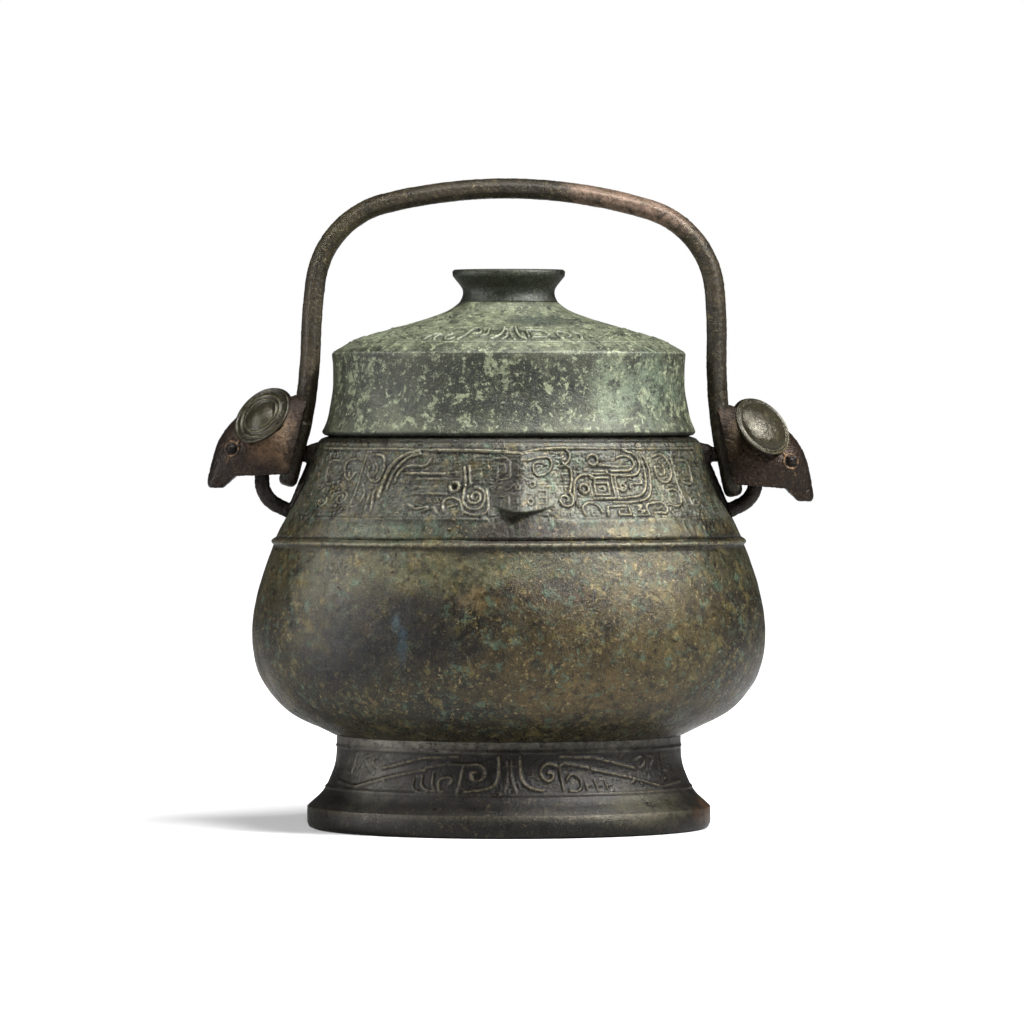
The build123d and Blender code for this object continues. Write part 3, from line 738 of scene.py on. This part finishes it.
def patch_layers(tree, place, warp, breakup, patches):
    """Ragged oval patches of other minerals, and some of painted highlights and painted shade."""
    layers = []
    for centre, radii, tone, strength in patches:
        links = {0: place, 1: [c * MM for c in centre]}
        away = add_node(tree, VECTORS, links, operation="SUBTRACT")
        links = {0: away, 1: [1 / (r * MM) for r in radii]}
        scaled = add_node(tree, VECTORS, links, operation="MULTIPLY")
        links = {0: warp, 1: (70, 70, 70), 2: scaled}
        bent = add_node(tree, VECTORS, links, operation="MULTIPLY_ADD")
        size = add_node(tree, VECTORS, {0: bent}, out="Value", operation="LENGTH")
        share = add_node(tree, RANGE, {0: size, 1: 1.3, 2: 0.6})
        layers.append((ragged(tree, share, breakup, 0.36, 0.54, strength), tone))
    return layers


def edge_warp(tree, place):
    """A small random offset that roughens the edges of zones and patches."""
    loose = add_node(tree, NOISE, {
        "Vector": place, "Scale": 1 / (WARP_MM * MM), "Detail": 7.0, "Roughness": 0.7,
    }, out=1)
    centred = add_node(tree, VECTORS, {0: loose, 1: (0.5, 0.5, 0.5)}, operation="SUBTRACT")
    return add_node(tree, VECTORS, {0: centred, 1: (0.036, 0.036, 0.036)}, operation="MULTIPLY")


def wear(piece, material):
    """Gives a piece its finish."""
    piece.data.materials.clear()
    piece.data.materials.append(material)


def show(piece, body, material, slot, *nodes):
    """Sets a finished piece on its body in place of the frame's plain nodes."""
    wear(piece, material)
    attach(piece, body)
    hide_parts(*nodes)


# Patches are centre, radii, tone and strength, in millimetres on the rest pose. Blooms are
# size, threshold, tone and strength.
VESSEL_PATCHES = [
    # Painted highlight: a pale grey patch on the upper left of the belly, where the left lamp's
    # reflection falls.
    ((-78, -55, 112), (14, 30, 20), "4b4a3e", 0.7),
    ((-35, -60, 52), (36, 40, 9), "22251f", 0.8),
    ((-75, -50, 62), (22, 40, 12), "1b1b17", 0.85),
    ((25, -80, 78), (38, 30, 22), "46391f", 0.8),
    ((62, -62, 92), (30, 30, 24), "4e4326", 0.7),
    ((38, -80, 60), (34, 30, 9), "5c4c2d", 0.7),
    ((-20, -70, 112), (40, 30, 8), "5c5a3e", 0.6),
    ((20, -75, 104), (20, 30, 7), "36261a", 0.6),
    ((-12, -80, 101), (10, 20, 5), "71603d", 0.6),
    # Painted light: two pale patches make the right of the neck band lighter, where the key light
    # falls.
    ((30, -75, 150), (22, 20, 12), "77755f", 0.5),
    ((66, -60, 150), (16, 30, 14), "76745c", 0.7),
    # Painted highlight: a pale grey patch on the left, just below the neck band.
    ((-62, -50, 128), (16, 30, 6), "5a5850", 0.7),
    ((-52, -70, 129), (26, 20, 6), "3f5140", 0.7),
    ((60, -60, 130), (30, 20, 5), "5f5a3e", 0.6),
    ((70, 50, 95), (36, 30, 26), "544b30", 0.7),
    ((-50, 70, 80), (40, 30, 24), "121316", 0.9),
]
VESSEL_ACCENTS = [
    ((-54, -75, 86), (27, 30, 21), "07070a", 1.0),
    ((-74, -60, 74), (16, 30, 12), "15151a", 0.8),
    ((-22, -80, 82), (10, 30, 8), "100f0e", 0.8),
    ((-47, -80, 91), (1.6, 20, 4), "46575b", 0.6),
    ((-44, -80, 81), (2.3, 20, 8), "2f444e", 0.6),
    ((-59, -78, 88), (2.6, 20, 3.2), "46392a", 0.75),
    ((-59, -80, 88), (1.1, 20, 1.5), "060504", 1.0),
    # Painted shadow: a dark brown patch under the nose's undercut.
    ((2, -75, 129), (16, 20, 6), "1a110c", 0.85),
    # Painted shade: the nose's left face, turned away from the key light, painted dark.
    ((-1, -80, 149), (7.5, 20, 15), "1b1610", 0.85),
]
VESSEL_ZONES = [
    (133, 169, "50534a", 0.85),
    (104, 122, "4a4830", 0.45),
]
VESSEL_BLOOMS = [
    (11.0, 0.53, "191813", 0.75),
    (7.5, 0.55, "625834", 0.72),
    (5.0, 0.55, "4a5b4b", 0.8),
    (3.5, 0.54, "13120f", 0.75),
    (3.0, 0.58, "7d6c45", 0.7),
    (2.0, 0.59, "a5946b", 0.7),
    (2.2, 0.61, "5e3a22", 0.75),
]
FOOT_PATCHES = [
    ((60, -50, 12), (20, 30, 8), "4a4636", 0.6),
    ((84, -10, 8), (8, 20, 6), "5a3f26", 0.7),
    ((0, -68, 24), (42, 20, 12), "12100e", 0.9),
    # Painted highlight: a pale grey patch on the left of the flare, where the left lamp's
    # reflection falls.
    ((-60, -50, 24), (16, 30, 14), "504e46", 0.8),
    ((-40, -60, 8), (30, 30, 6), "1d1c19", 0.7),
]
LID_PATCHES = [
    ((-5, -60, 190), (46, 34, 15), "12150f", 0.95),
    ((44, -50, 186), (10, 30, 14), "6e7963", 0.8),
    ((62, -35, 190), (14, 30, 15), "616d5a", 0.85),
    ((-66, -30, 188), (14, 30, 18), "22251d", 0.85),
    ((20, -30, 219), (18, 16, 5), "1e2a2b", 0.85),
    ((30, 55, 190), (40, 30, 14), "788570", 0.7),
    ((-50, 40, 186), (30, 30, 14), "20241f", 0.8),
]
LID_BLOOMS = [
    (9.0, 0.53, "20241e", 0.8),
    (6.0, 0.54, "838a6e", 0.85),
    (4.0, 0.55, "171a15", 0.8),
    (2.6, 0.57, "9ba284", 0.75),
    (2.0, 0.60, "5a4a30", 0.6),
    (1.6, 0.60, "10120f", 0.7),
]

# Cast bronze, waxed: olive and ochre bloom with a smooth dark field that shines softly.
# Its patches also paint highlights on the left, light on the band's right, and shade on and under
# the nose.
vessel_bronze = bronze_patina(
    "vessel_bronze_patina_and_painted_light", ("231f16", "39321f"),
    VESSEL_BLOOMS, VESSEL_PATCHES, VESSEL_ZONES, VESSEL_ACCENTS,
    worn="8e8870", recess="110f0b", crust=0.55, gloss=(0.17, 0.42), metal=0.4,
)
# Cast bronze, handled: nearly black, with pale rubbed strokes, a painted highlight along its upper
# edge and another on the left of the flare.
foot_bronze = bronze_patina(
    "foot_bronze_patina_and_painted_light", ("131210", "1d1b17"),
    [(8, 0.56, "100e0c", 0.75), (5, 0.58, "373125", 0.7), (2.6, 0.59, "5b4f37", 0.6)],
    # The first zone is a painted highlight: a pale grey belt along the foot's upper edge.
    FOOT_PATCHES, [(36.5, 42, "6b685e", 0.85), (7.5, 11, "36332a", 0.7)],
    worn="6e644d", recess="0a0908", crust=0.5, gloss=(0.25, 0.5), metal=0.5,
)
# Malachite crust on cast bronze: matt grey-green, broken by bare dark patches.
lid_bronze = bronze_patina(
    "lid_malachite_patina", ("36382b", "4d503e"), LID_BLOOMS, LID_PATCHES,
    [(206, 224, "797e67", 0.7)],
    worn="a3a78f", recess="0e100d", crust=0.6, gloss=(0.28, 0.58), metal=0.2,
)
# Cast bronze rubbed by fingers: dark and smoother, with a green trace in its pores.
knob_bronze = bronze_patina(
    "knob_bronze_patina", ("1a1c15", "262920"),
    [(6, 0.55, "171914", 0.8), (3, 0.58, "3f4433", 0.7), (2, 0.60, "5f644f", 0.5)],
    worn="9aa083", recess="0c0d0a", crust=0.5, gloss=(0.24, 0.5), metal=0.4,
)
# Cast bronze worn by the hand: brown, with a tan crust on the shoulders.
bail_bronze = bronze_patina(
    "bail_bronze_patina", ("221e15", "322b1e"),
    [(7, 0.55, "191510", 0.8), (4, 0.57, "5f5339", 0.7), (2.2, 0.59, "7b6d50", 0.7)],
    [((60, 0, 268), (34, 14, 12), "80695a", 0.85), ((-70, 0, 255), (16, 12, 20), "413c28", 0.7)],
    worn="948767", recess="0d0a07", crust=0.6, gloss=(0.26, 0.55), metal=0.4,
)
# Cuprite under thin crust on cast bronze: reddish brown, tan and granular at the neck.
head_bronze = bronze_patina(
    "head_cuprite_patina", ("1d140e", "2a1e15"),
    [(6, 0.56, "120c08", 0.8), (4, 0.58, "4a3828", 0.7), (2, 0.60, "6b543f", 0.6)],
    [
        ((-100, -16, 178), (8, 9, 17), "7a654c", 0.85),
        ((-104, -16, 166), (8, 9, 10), "5f4a36", 0.8),
        ((101, -16, 174), (8, 9, 17), "66563f", 0.8),
        ((104, -16, 162), (8, 9, 10), "33261b", 0.8),
        ((-124, -10, 150), (9, 16, 12), "140e0a", 0.7),
        ((124, -10, 150), (9, 16, 12), "17120c", 0.7),
    ],
    worn="86694c", recess="080504", crust=0.6, gloss=(0.24, 0.5), metal=0.6,
)
# Cast bronze in the bail's shadow: plain dark brown, a little shiny.
loop_bronze = bronze_patina(
    "loop_bronze_patina", ("1c1712", "282018"),
    [(5, 0.56, "100d0a", 0.7), (3, 0.60, "453a2c", 0.6)],
    worn="5e523f", recess="0a0806", crust=0.5, metal=0.55,
)
# Cast bronze, polished by touch: olive and smooth, with bright ridges.
horn_bronze = bronze_patina(
    "horn_bronze_patina", ("28251a", "383426"),
    [(6, 0.56, "15130e", 0.7), (3, 0.58, "59533c", 0.6), (1.8, 0.60, "6e674a", 0.6)],
    worn="8f8560", recess="0e0c08", crust=0.35, gloss=(0.2, 0.4), metal=0.45,
)


def dress_vessel():
    """Bowl skin, the collar's relief over it, the two noses, and the foot."""
    art, nose, ground = neck_band()
    mouth = NECK_HALF_WIDTH - NECK_WALL
    hidden = np.array([(r - 0.6, z) for r, z in smooth_run(COLLAR, 2.4)[1:-1]])
    profile = joined(
        smooth_run([(0.01, 34.0), (35.0, 35.2), (70.0, 40.4)], 4),
        [(70.0, 40.4), (75.6, 40.4)],
        smooth_run(BELLY, 2.0),
        smooth_run(RIDGE, 0.4),
        hidden,
        [(81.6, 166.4), (80.9, 167.5), (79.4, 168.1), (77.8, 168.6)],
        [(NECK_HALF_WIDTH, RIM_HEIGHT), (NECK_HALF_WIDTH, NECK_TOP - 1)],
        [(NECK_HALF_WIDTH - 1, NECK_TOP), (mouth, NECK_TOP), (mouth, 164.6)],
        smooth_run([
            (mouth, 164.6), (87.5, 141.0), (96.2, 124.7), (106.5, 81.5), (95.4, 56.0), (66.0, 45.2),
        ], 5),
        smooth_run([(66.0, 45.2), (35.0, 39.4), (0.01, 38.0)], 5),
    )
    places = round_oval(profile, BOWL_COLUMNS)
    outside = ((profile[:, 0] > 80) & (profile[:, 1] > 44) & (profile[:, 1] < 165))[:, None]
    calm = np.clip(np.abs(profile[:, 1] - 123.4) / 6, 0, 1)[:, None]
    swell = (waves(places, 3, 34, 0.18) + waves(places, 4, 9, 0.06)) * outside * calm
    # Painted highlight: the bead's rows get a pale mark, standing in for the bright line the lamps
    # draw along it.
    bead_painted_highlight = np.exp(-(((profile[:, 1] - 123.6) / 1.0) ** 2)) * 0.62
    # Painted shade: a dark line under the bead, and dark rows in the gap where the lid sits on the
    # rim.
    under = np.exp(-(((profile[:, 1] - 121.3) / 0.9) ** 2)) * 0.8 + (profile[:, 1] > 166.9)
    bowl = oval_skin("bowl_skin", profile, BOWL_COLUMNS, None, swell, bead_painted_highlight, under)
    show(bowl, "vessel", vessel_bronze, "vessel_patina", "vessel_bowl")

    run = thinned(smooth_run(COLLAR, 0.5), 133.5, 165.8, 1.6)
    back = run[::-8] - [1.6, 0]
    profile = np.concatenate([run, back])
    relief = banded(profile, run, art, COLLAR_COLUMNS, ground) * 1.45
    places = round_oval(profile, COLLAR_COLUMNS)
    inside = (np.arange(len(profile)) < len(run) - 1)[:, None] & (profile[:, 1] > 126)[:, None]
    calm = np.clip((profile[:, 1] - 124.7) / 6, 0, 1)[:, None]
    swell = (waves(places, 5, 12, 0.12) + waves(places, 6, 2.2, 0.10, 24)) * inside * calm
    # Painted shade: the collar's top rows, in the gap under the lid, are marked dark.
    above = 1.0 * (profile[:, 1] > 166.2)
    collar = oval_skin("collar_skin", profile, COLLAR_COLUMNS, relief, swell, None, above)
    show(collar, "vessel", vessel_bronze, "vessel_patina")
    for name, facing in (("front_nose", -1), ("back_nose", 1)):
        patch = nose_patch(name, facing, nose, ground)
        node = "front_mask" if facing < 0 else "back_mask"
        show(patch, "vessel", vessel_bronze, "vessel_patina", node)

    run = smooth_run(FOOT_FLARE, 0.62)
    inner = smooth_run([(70.0, 40.4), (70.0, 30.0), (72.6, 17.0), (78.9, 0.0)], 3)
    profile = joined([(84.3, 0), (86.2, 0.8), (86.9, 2.6)], run, [(70.0, 40.4)], inner)
    art, ground = foot_band()
    relief = banded(profile, run, art, FOOT_COLUMNS, ground) * 1.2
    lip = np.exp(-(((profile[:, 1] - 9.0) / 1.2) ** 2)) * 0.5 * (profile[:, 0] > 82)
    foot = oval_skin("foot_skin", profile, FOOT_COLUMNS, relief, 0.0, lip)
    show(foot, "vessel", foot_bronze, "foot_patina", "foot_ring")


def nose_patch(name, facing, art, ground):
    """The mask's wedge nose: its ridge stands furthest out above an undercut lower end."""
    collar = smooth_run(COLLAR, 0.5)
    heights = np.arange(135.2, 164.0, 0.45)
    across = np.arange(-9.2, 23.0, 0.4)
    half = np.interp(heights, collar[:, 1], collar[:, 0])[:, None]
    wall = -DEPTH_RATIO * np.sqrt(half**2 - across**2)
    stand_heights = [135.2, 135.8, 137.5, 161.0, 163.9]
    stand = np.interp(heights, stand_heights, [-0.9, 4.6, 6.3, 2.8, -0.6])[:, None]
    aside = across - RIDGE_ACROSS
    wide = np.where(aside < 0, LEFT_FACE, RIGHT_FACE)
    slope = np.clip(1 - np.sqrt(aside**2 + 3.5) / wide, 0, 1)
    slope = np.where(aside < 0, slope**1.15, slope**1.45)
    edge = np.clip(np.abs(across - NOSE_MIDDLE) - NOSE_HALF, 0, 1.6)
    chin = CHIN_HEIGHT + 4.5 * (aside / wide) ** 2
    clear = np.clip((heights[:, None] - chin) / 1.1, 0, 1)
    lift = np.where(stand > 0, stand * slope * clear * 1.12, stand) - edge
    travel = slope_length(collar)
    up = np.repeat(np.interp(heights, collar[:, 1], travel)[:, None], len(across), axis=1)
    flat = along_oval(across / NECK_BAND) * NECK_BAND
    flat = np.repeat(flat[None, :], len(heights), axis=0)
    strokes = over_ground(art.heights(flat, up), ground.heights(flat, up))
    relief = strokes * 1.2 * (stand > 1) * (edge < 0.1)
    front = np.stack([
        np.broadcast_to(across, wall.shape), wall - lift - relief,
        np.repeat(heights[:, None], len(across), axis=1),
    ], axis=-1)
    front[..., 1] -= waves(front, 8, 2.4, 0.06, 24)
    back = front[:, ::-1].copy()
    back[..., 1] = wall[:, ::-1] + 2.6
    rows = np.concatenate([front, back], axis=1)
    rows[..., :2] *= -facing
    marks = {
        "relief": np.concatenate([relief, 0 * relief], axis=1),
        "hollow": np.concatenate([near_strokes(relief), 0 * relief], axis=1),
    }
    return grid_piece(name, rows, marks, wrap_rows=False, closed=True)


def dress_lid():
    """Lid skin with the roof's relief, and the open flared knob."""
    roof = thinned(smooth_run(LID_ROOF, 0.5), 207.8, 216.6, 1.8)
    profile = joined(
        [(77.4, 168.6), (79.4, 169.1), (80.2, 169.9), (80.4, 170.7)],
        smooth_run(LID_SKIRT, 1.6),
        [(76.2, 203.6), (76.0, 204.3), (75.4, 205.0)],
        roof,
        [(21.2, LID_CROWN), (17.8, LID_CROWN), (17.3, LID_CROWN - 4.6)],
        [(0.01, LID_CROWN - 4.6), (0.01, LID_CROWN - 8.0)],
        smooth_run([(0.01, LID_CROWN - 8.0), (40.0, 214.1), (72.8, 202.8)], 4),
        smooth_run([(72.8, 202.8), (72.3, 193.6), (77.0, 168.6)], 4),
    )
    art, ground = lid_band()
    relief = banded(profile, roof, art, LID_COLUMNS, ground) * 1.2
    places = round_oval(profile, LID_COLUMNS)
    outside = ((profile[:, 1] > 171) & (np.arange(len(profile)) < len(profile) - 45))[:, None]
    swell = (waves(places, 9, 26, 0.12) + waves(places, 10, 5, 0.05)) * outside
    # Painted shade: the lid's lower lip, in the gap on the rim, is marked dark.
    lip = ((profile[:, 1] < 170.0) & (profile[:, 0] > 77.2)) * 1.0
    corner = np.exp(-(((profile[:, 1] - 204.3) / 0.7) ** 2)) * 0.5 * (profile[:, 0] > 75)
    lid = oval_skin("lid_skin", profile, LID_COLUMNS, relief, swell, corner, lip)
    show(lid, "lid", lid_bronze, "lid_patina", "lid")

    profile = joined(
        smooth_run(KNOB_SIDE, 0.7),
        [(24.1, 237.4), (24.3, 239.4), (23.5, 240.2), (21.2, 240.2)],
        smooth_run([(20.8, 240.0), (16.6, 232.6), (17.8, 226.2)], 1.0),
    )
    knob = oval_skin("knob_skin", profile, KNOB_COLUMNS)
    show(knob, "lid", knob_bronze, "lid_patina", "lid_knob")


def cast_copy(name, node, voxel_mm, rounds, crust, seed):
    """A copy of a frame node as one lumpy casting, its hard edges softened."""
    piece = bpy.data.objects.new(name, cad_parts[node].data.copy())
    bpy.context.collection.objects.link(piece)
    tidy_mesh(piece)
    bpy.ops.object.modifier_add(type="REMESH")
    piece.modifiers[-1].mode = "VOXEL"
    piece.modifiers[-1].voxel_size = voxel_mm * MM
    bpy.ops.object.modifier_apply(modifier=piece.modifiers[-1].name)
    bpy.ops.object.modifier_add(type="SMOOTH")
    piece.modifiers[-1].factor = 0.5
    piece.modifiers[-1].iterations = rounds
    bpy.ops.object.modifier_apply(modifier=piece.modifiers[-1].name)
    bpy.ops.object.shade_smooth()
    points, normals = surface_of(piece)
    lumps = waves(points, seed, 7.0, crust * 0.6) + waves(points, seed + 1, 1.8, crust, 24)
    place_points(piece, points + normals * lumps[:, None])
    return piece


def surface_of(piece):
    """Points in millimetres and unit normals of a mesh."""
    mesh = piece.data
    points = np.empty(len(mesh.vertices) * 3)
    normals = np.empty(len(mesh.vertices) * 3)
    mesh.vertices.foreach_get("co", points)
    mesh.vertices.foreach_get("normal", normals)
    return points.reshape(-1, 3) / MM, normals.reshape(-1, 3)


def place_points(piece, points):
    piece.data.vertices.foreach_set("co", (points * MM).ravel())
    piece.data.update()


def lean(points, side):
    """Places points of the right-hand head, as drawn upright, on either end of the bail."""
    x = points[..., 0] * side
    z = points[..., 2] - PIVOT_HEIGHT
    return np.stack([
        x * math.cos(BAIL_LEAN) + z * math.sin(BAIL_LEAN) + BAIL_SHIFT,
        points[..., 1],
        z * math.cos(BAIL_LEAN) - x * math.sin(BAIL_LEAN) + PIVOT_HEIGHT,
    ], axis=-1)


def upright(points, side):
    """The reverse of lean: back to the right-hand head as drawn upright."""
    x = points[..., 0] - BAIL_SHIFT
    z = points[..., 2] - PIVOT_HEIGHT
    return np.stack([
        (x * math.cos(BAIL_LEAN) - z * math.sin(BAIL_LEAN)) * side,
        points[..., 1],
        x * math.sin(BAIL_LEAN) + z * math.cos(BAIL_LEAN) + PIVOT_HEIGHT,
    ], axis=-1)


def carve_head(name, node, side):
    """Softens a beast head, fills its cheeks, and gives it ringed eyes and a mouth line."""
    piece = cast_copy(name, node, 0.38, 7, 0.07, 20 + side)
    points, normals = surface_of(piece)
    home = upright(points, side)
    facing = upright(points + normals, side) - home
    level, steep = math.cos(HEAD_PITCH), math.sin(HEAD_PITCH)
    x = home[:, 0] - (SPAN + HEAD_START)
    z = home[:, 2] - (PIVOT_HEIGHT + HEAD_START_RISE)
    along = x * level - z * steep
    up = x * steep + z * level
    rising = facing[:, 0] * steep + facing[:, 2] * level
    outer = np.clip(facing[:, 1] * np.sign(home[:, 1]) * 1.6, 0, 1)
    skin = np.maximum(outer, np.clip(rising * 1.6, 0, 1) * (up > 2))
    lift = 1.1 * np.exp(-(((along - 9) / 8) ** 2) - ((up + 5) / 7) ** 2) * outer
    away = np.hypot(along - EYE_ALONG, up - EYE_UP)
    ring = 0.5 * np.exp(-(((away - 3.05) / 0.42) ** 2))
    socket = -0.55 * np.exp(-(((away - 2.3) / 0.45) ** 2))
    for end in ((-6.6, 0.6), (5.4, -3.4)):
        length = math.hypot(*end)
        nearest = (along - EYE_ALONG) * end[0] + (up - EYE_UP) * end[1]
        share = np.clip(nearest / length**2, 0, 1)
        apart = np.hypot(along - EYE_ALONG - share * end[0], up - EYE_UP - share * end[1])
        ring = np.maximum(ring, 0.45 * np.exp(-((apart / 0.5) ** 2)) * (away > 3.0))
    mouth = -0.22 * np.exp(-(((along - 38.6 - 0.12 * up) / 0.5) ** 2)) * (along > 30)
    lift += (ring + socket) * outer + mouth * skin
    place_points(piece, points + normals * lift[:, None])
    pupil = 0.9 * np.clip(1 - (away / 2.2) ** 4, 0, 1)
    marks = {
        "relief": 2.0 * ring * outer,
        "hollow": pupil * outer - 1.6 * (socket * outer + mouth * skin),
    }
    for key, value in marks.items():
        held = piece.data.attributes.new(key, "FLOAT", "POINT")
        held.data.foreach_set("value", np.clip(value, 0, 1))
    return piece


def horn_disc(kind, side, near):
    """One dished horn: a coiled ridge round a low boss, or a broad smooth dome."""
    turns = np.linspace(0, 2 * math.pi, 121)[:-1]
    radii = np.linspace(0.02, 1.0, 52) * HORN_RADIUS
    radius, angle = np.meshgrid(radii, turns, indexing="ij")
    share = radius / HORN_RADIUS
    if kind == "coil":
        x = radius * np.cos(angle) - 1.6
        y = radius * np.sin(angle)
        boss = 2.6 * np.clip(1 - (np.hypot(x, y) / 7.2) ** 2, 0, 1)
        coil = np.mod(angle / (2 * math.pi) + 0.15, 1)
        line = np.exp(-(((share - 0.80 + 0.17 * coil) / 0.045) ** 2))
        line = np.maximum(line, np.exp(-(((share - 0.63 + 0.12 * coil) / 0.04) ** 2)))
        rim = np.exp(-(((share - 0.96) / 0.05) ** 2))
        height = 1.9 + 0.8 * line + 0.7 * rim + boss - 0.5 * share
        mark = 0.5 * line + 0.25 * rim
    else:
        dome = 4.4 * np.sqrt(np.clip(1 - (share / 0.84) ** 2, 0, 1))
        rim = np.exp(-(((share - 0.97) / 0.04) ** 2))
        rim = rim + 0.8 * np.exp(-(((share - 0.88) / 0.03) ** 2))
        height = 1.7 + dome + 0.6 * rim
        mark = 0.32 * rim * (1 + 0.8 * np.cos(angle))
    front = np.stack([radius * np.cos(angle), radius * np.sin(angle), height], axis=-1)
    outline = [
        (13.9, 1.2), (13.3, 0.2), (12.0, 0.0), (6.8, 0.0), (6.3, -1.5), (6.2, -6.5), (0.02, -7.0),
    ]
    behind = np.stack([
        np.stack([r * np.cos(turns), r * np.sin(turns), np.full(turns.shape, h)], axis=-1)
        for r, h in outline
    ])
    rows = np.concatenate([front, behind])
    marks = np.concatenate([mark, np.zeros(behind.shape[:2])])
    rows[..., 2] += waves(rows, 31, 3.0, 0.04) * (rows[..., 2] > 1)
    face = np.array([
        math.sin(HORN_TILT) * math.cos(HORN_HEADING), near * math.cos(HORN_TILT),
        math.sin(HORN_TILT) * math.sin(HORN_HEADING),
    ])
    snout = np.array([math.cos(HEAD_PITCH), 0, -math.sin(HEAD_PITCH)])
    first = snout - face * (snout @ face)
    first /= np.linalg.norm(first)
    second = np.cross(face, first)
    centre = np.array([SPAN + HORN_REACH, near * HORN_SPREAD, PIVOT_HEIGHT + HORN_RISE])
    placed = centre + rows[..., :1] * first + rows[..., 1:2] * second + rows[..., 2:] * face
    marks = {"relief": marks, "hollow": near_strokes(marks)}
    return grid_piece("horn", lean(placed, side), marks, wrap_rows=False, closed=True)


def dress_bail():
    """Bail, loops, heads and horns."""
    bail = cast_copy("bail_casting", "bail_handle", 0.55, 4, 0.06, 12)
    show(bail, "bail", bail_bronze, "bail_patina", "bail_handle")
    for side, word, kind in ((-1, "left", "coil"), (1, "right", "dome")):
        loop = cast_copy(word + "_loop_casting", word + "_loop", 0.38, 4, 0.08, 14)
        points, _ = surface_of(loop)
        near_wall = np.clip((86.5 - np.abs(points[:, 0])) / 3, 0, 1)
        near_wall = near_wall * (points[:, 2] > PIVOT_HEIGHT - 8)
        points[:, 0] -= side * 2.4 * near_wall**1.5
        place_points(loop, points)
        show(loop, "vessel", loop_bronze, "vessel_patina", word + "_loop")
        head = carve_head(word + "_head_casting", word + "_head", side)
        show(head, "bail", head_bronze, "head_patina", word + "_head")
        near_disc = horn_disc(kind, side, -1)
        far_disc = horn_disc(kind, side, 1)
        bpy.ops.object.select_all(action="DESELECT")
        far_disc.select_set(True)
        near_disc.select_set(True)
        bpy.context.view_layer.objects.active = near_disc
        bpy.ops.object.join()
        near_disc.name = word + "_horn_casting"
        show(near_disc, "bail", horn_bronze, "horn_patina", word + "_horns")


# How far from the middle the floor's own glow fades in, in metres, and the surround's light.
SHADOW_REACH = (0.13, 0.36)
SURROUND = 0.06
CAMERA_SPOT = (1.4, -2365, 184)
CAMERA_AIM = (1.4, 0, 135.9)


def floor_card():
    """Matt white studio floor that stays white to the camera away from the piece, but
    keeps the soft shadow round its foot."""
    material = bpy.data.materials.new("studio_card")
    material.use_nodes = True
    tree = material.node_tree
    tree.nodes.clear()
    seen = add_node(tree, "ShaderNodeLightPath", out="Is Camera Ray")
    place = add_node(tree, "ShaderNodeTexCoord", out="Object")
    away = add_node(tree, VECTORS, {0: place}, out="Value", operation="LENGTH")
    links = {0: away, 1: SHADOW_REACH[0], 2: SHADOW_REACH[1], 3: 0.2, 4: 1.0}
    glow = add_node(tree, RANGE, links)
    shown = add_node(tree, MATHS, {0: seen, 1: glow}, operation="MULTIPLY")
    links = {0: seen, 6: hex_colour("b0b0b0"), 7: hex_colour("dcdcdc")}
    card = add_node(tree, "ShaderNodeMix", links, out=2, data_type="RGBA")
    lit = add_node(tree, "ShaderNodeBsdfDiffuse", {"Color": card})
    glow = add_node(tree, "ShaderNodeEmission", {"Strength": shown})
    both = add_node(tree, "ShaderNodeAddShader", {0: lit, 1: glow})
    add_node(tree, "ShaderNodeOutputMaterial", {0: both})
    return material


def studio():
    """Pale floor, white surround, soft lamps, and the camera at the photograph's angle."""
    bpy.ops.mesh.primitive_plane_add(size=12, location=(0, 0, 0))
    floor = bpy.context.object
    floor.name = "studio_floor"
    floor.data.materials.append(floor_card())
    world = bpy.data.worlds.new("studio_surround")
    world.use_nodes = True
    tree = world.node_tree
    tree.nodes.clear()
    seen = add_node(tree, "ShaderNodeLightPath", out="Is Camera Ray")
    white = add_node(tree, RANGE, {0: seen, 3: SURROUND, 4: 1.0})
    back = add_node(tree, "ShaderNodeBackground", {"Color": (1, 1, 1, 1), "Strength": white})
    add_node(tree, "ShaderNodeOutputWorld", {0: back})
    bpy.context.scene.world = world
    lamps = [
        ("key_lamp", (1.0, -0.70, 1.15), (0.02, 0.0, 0.13), (0.5, 0.5), 54),
        ("left_strip", (-1.08, -0.36, 0.5), (0.0, 0.0, 0.12), (0.05, 1.1), 13),
        ("top_lamp", (0.1, -0.35, 1.4), (0.0, 0.0, 0.15), (0.4, 0.4), 16),
    ]
    for name, spot, target, size, power in lamps:
        light = bpy.data.lights.new(name, "AREA")
        light.shape = "RECTANGLE"
        light.size, light.size_y = size
        light.energy = power
        lamp = bpy.data.objects.new(name, light)
        lamp.location = spot
        lamp.rotation_euler = (Vector(target) - Vector(spot)).to_track_quat("-Z", "Y").to_euler()
        bpy.context.collection.objects.link(lamp)
    eye = Vector(CAMERA_SPOT) * MM
    aim = Vector(CAMERA_AIM) * MM
    lens = bpy.data.cameras.new("photo_camera")
    lens.lens = 193
    lens.sensor_width = 36
    camera = bpy.data.objects.new("photo_camera", lens)
    camera.location = eye
    camera.rotation_euler = (aim - eye).to_track_quat("-Z", "Y").to_euler()
    bpy.context.collection.objects.link(camera)
    bpy.context.scene.camera = camera
    bpy.context.scene.view_settings.view_transform = "Standard"


dress_vessel()
dress_lid()
dress_bail()
studio()
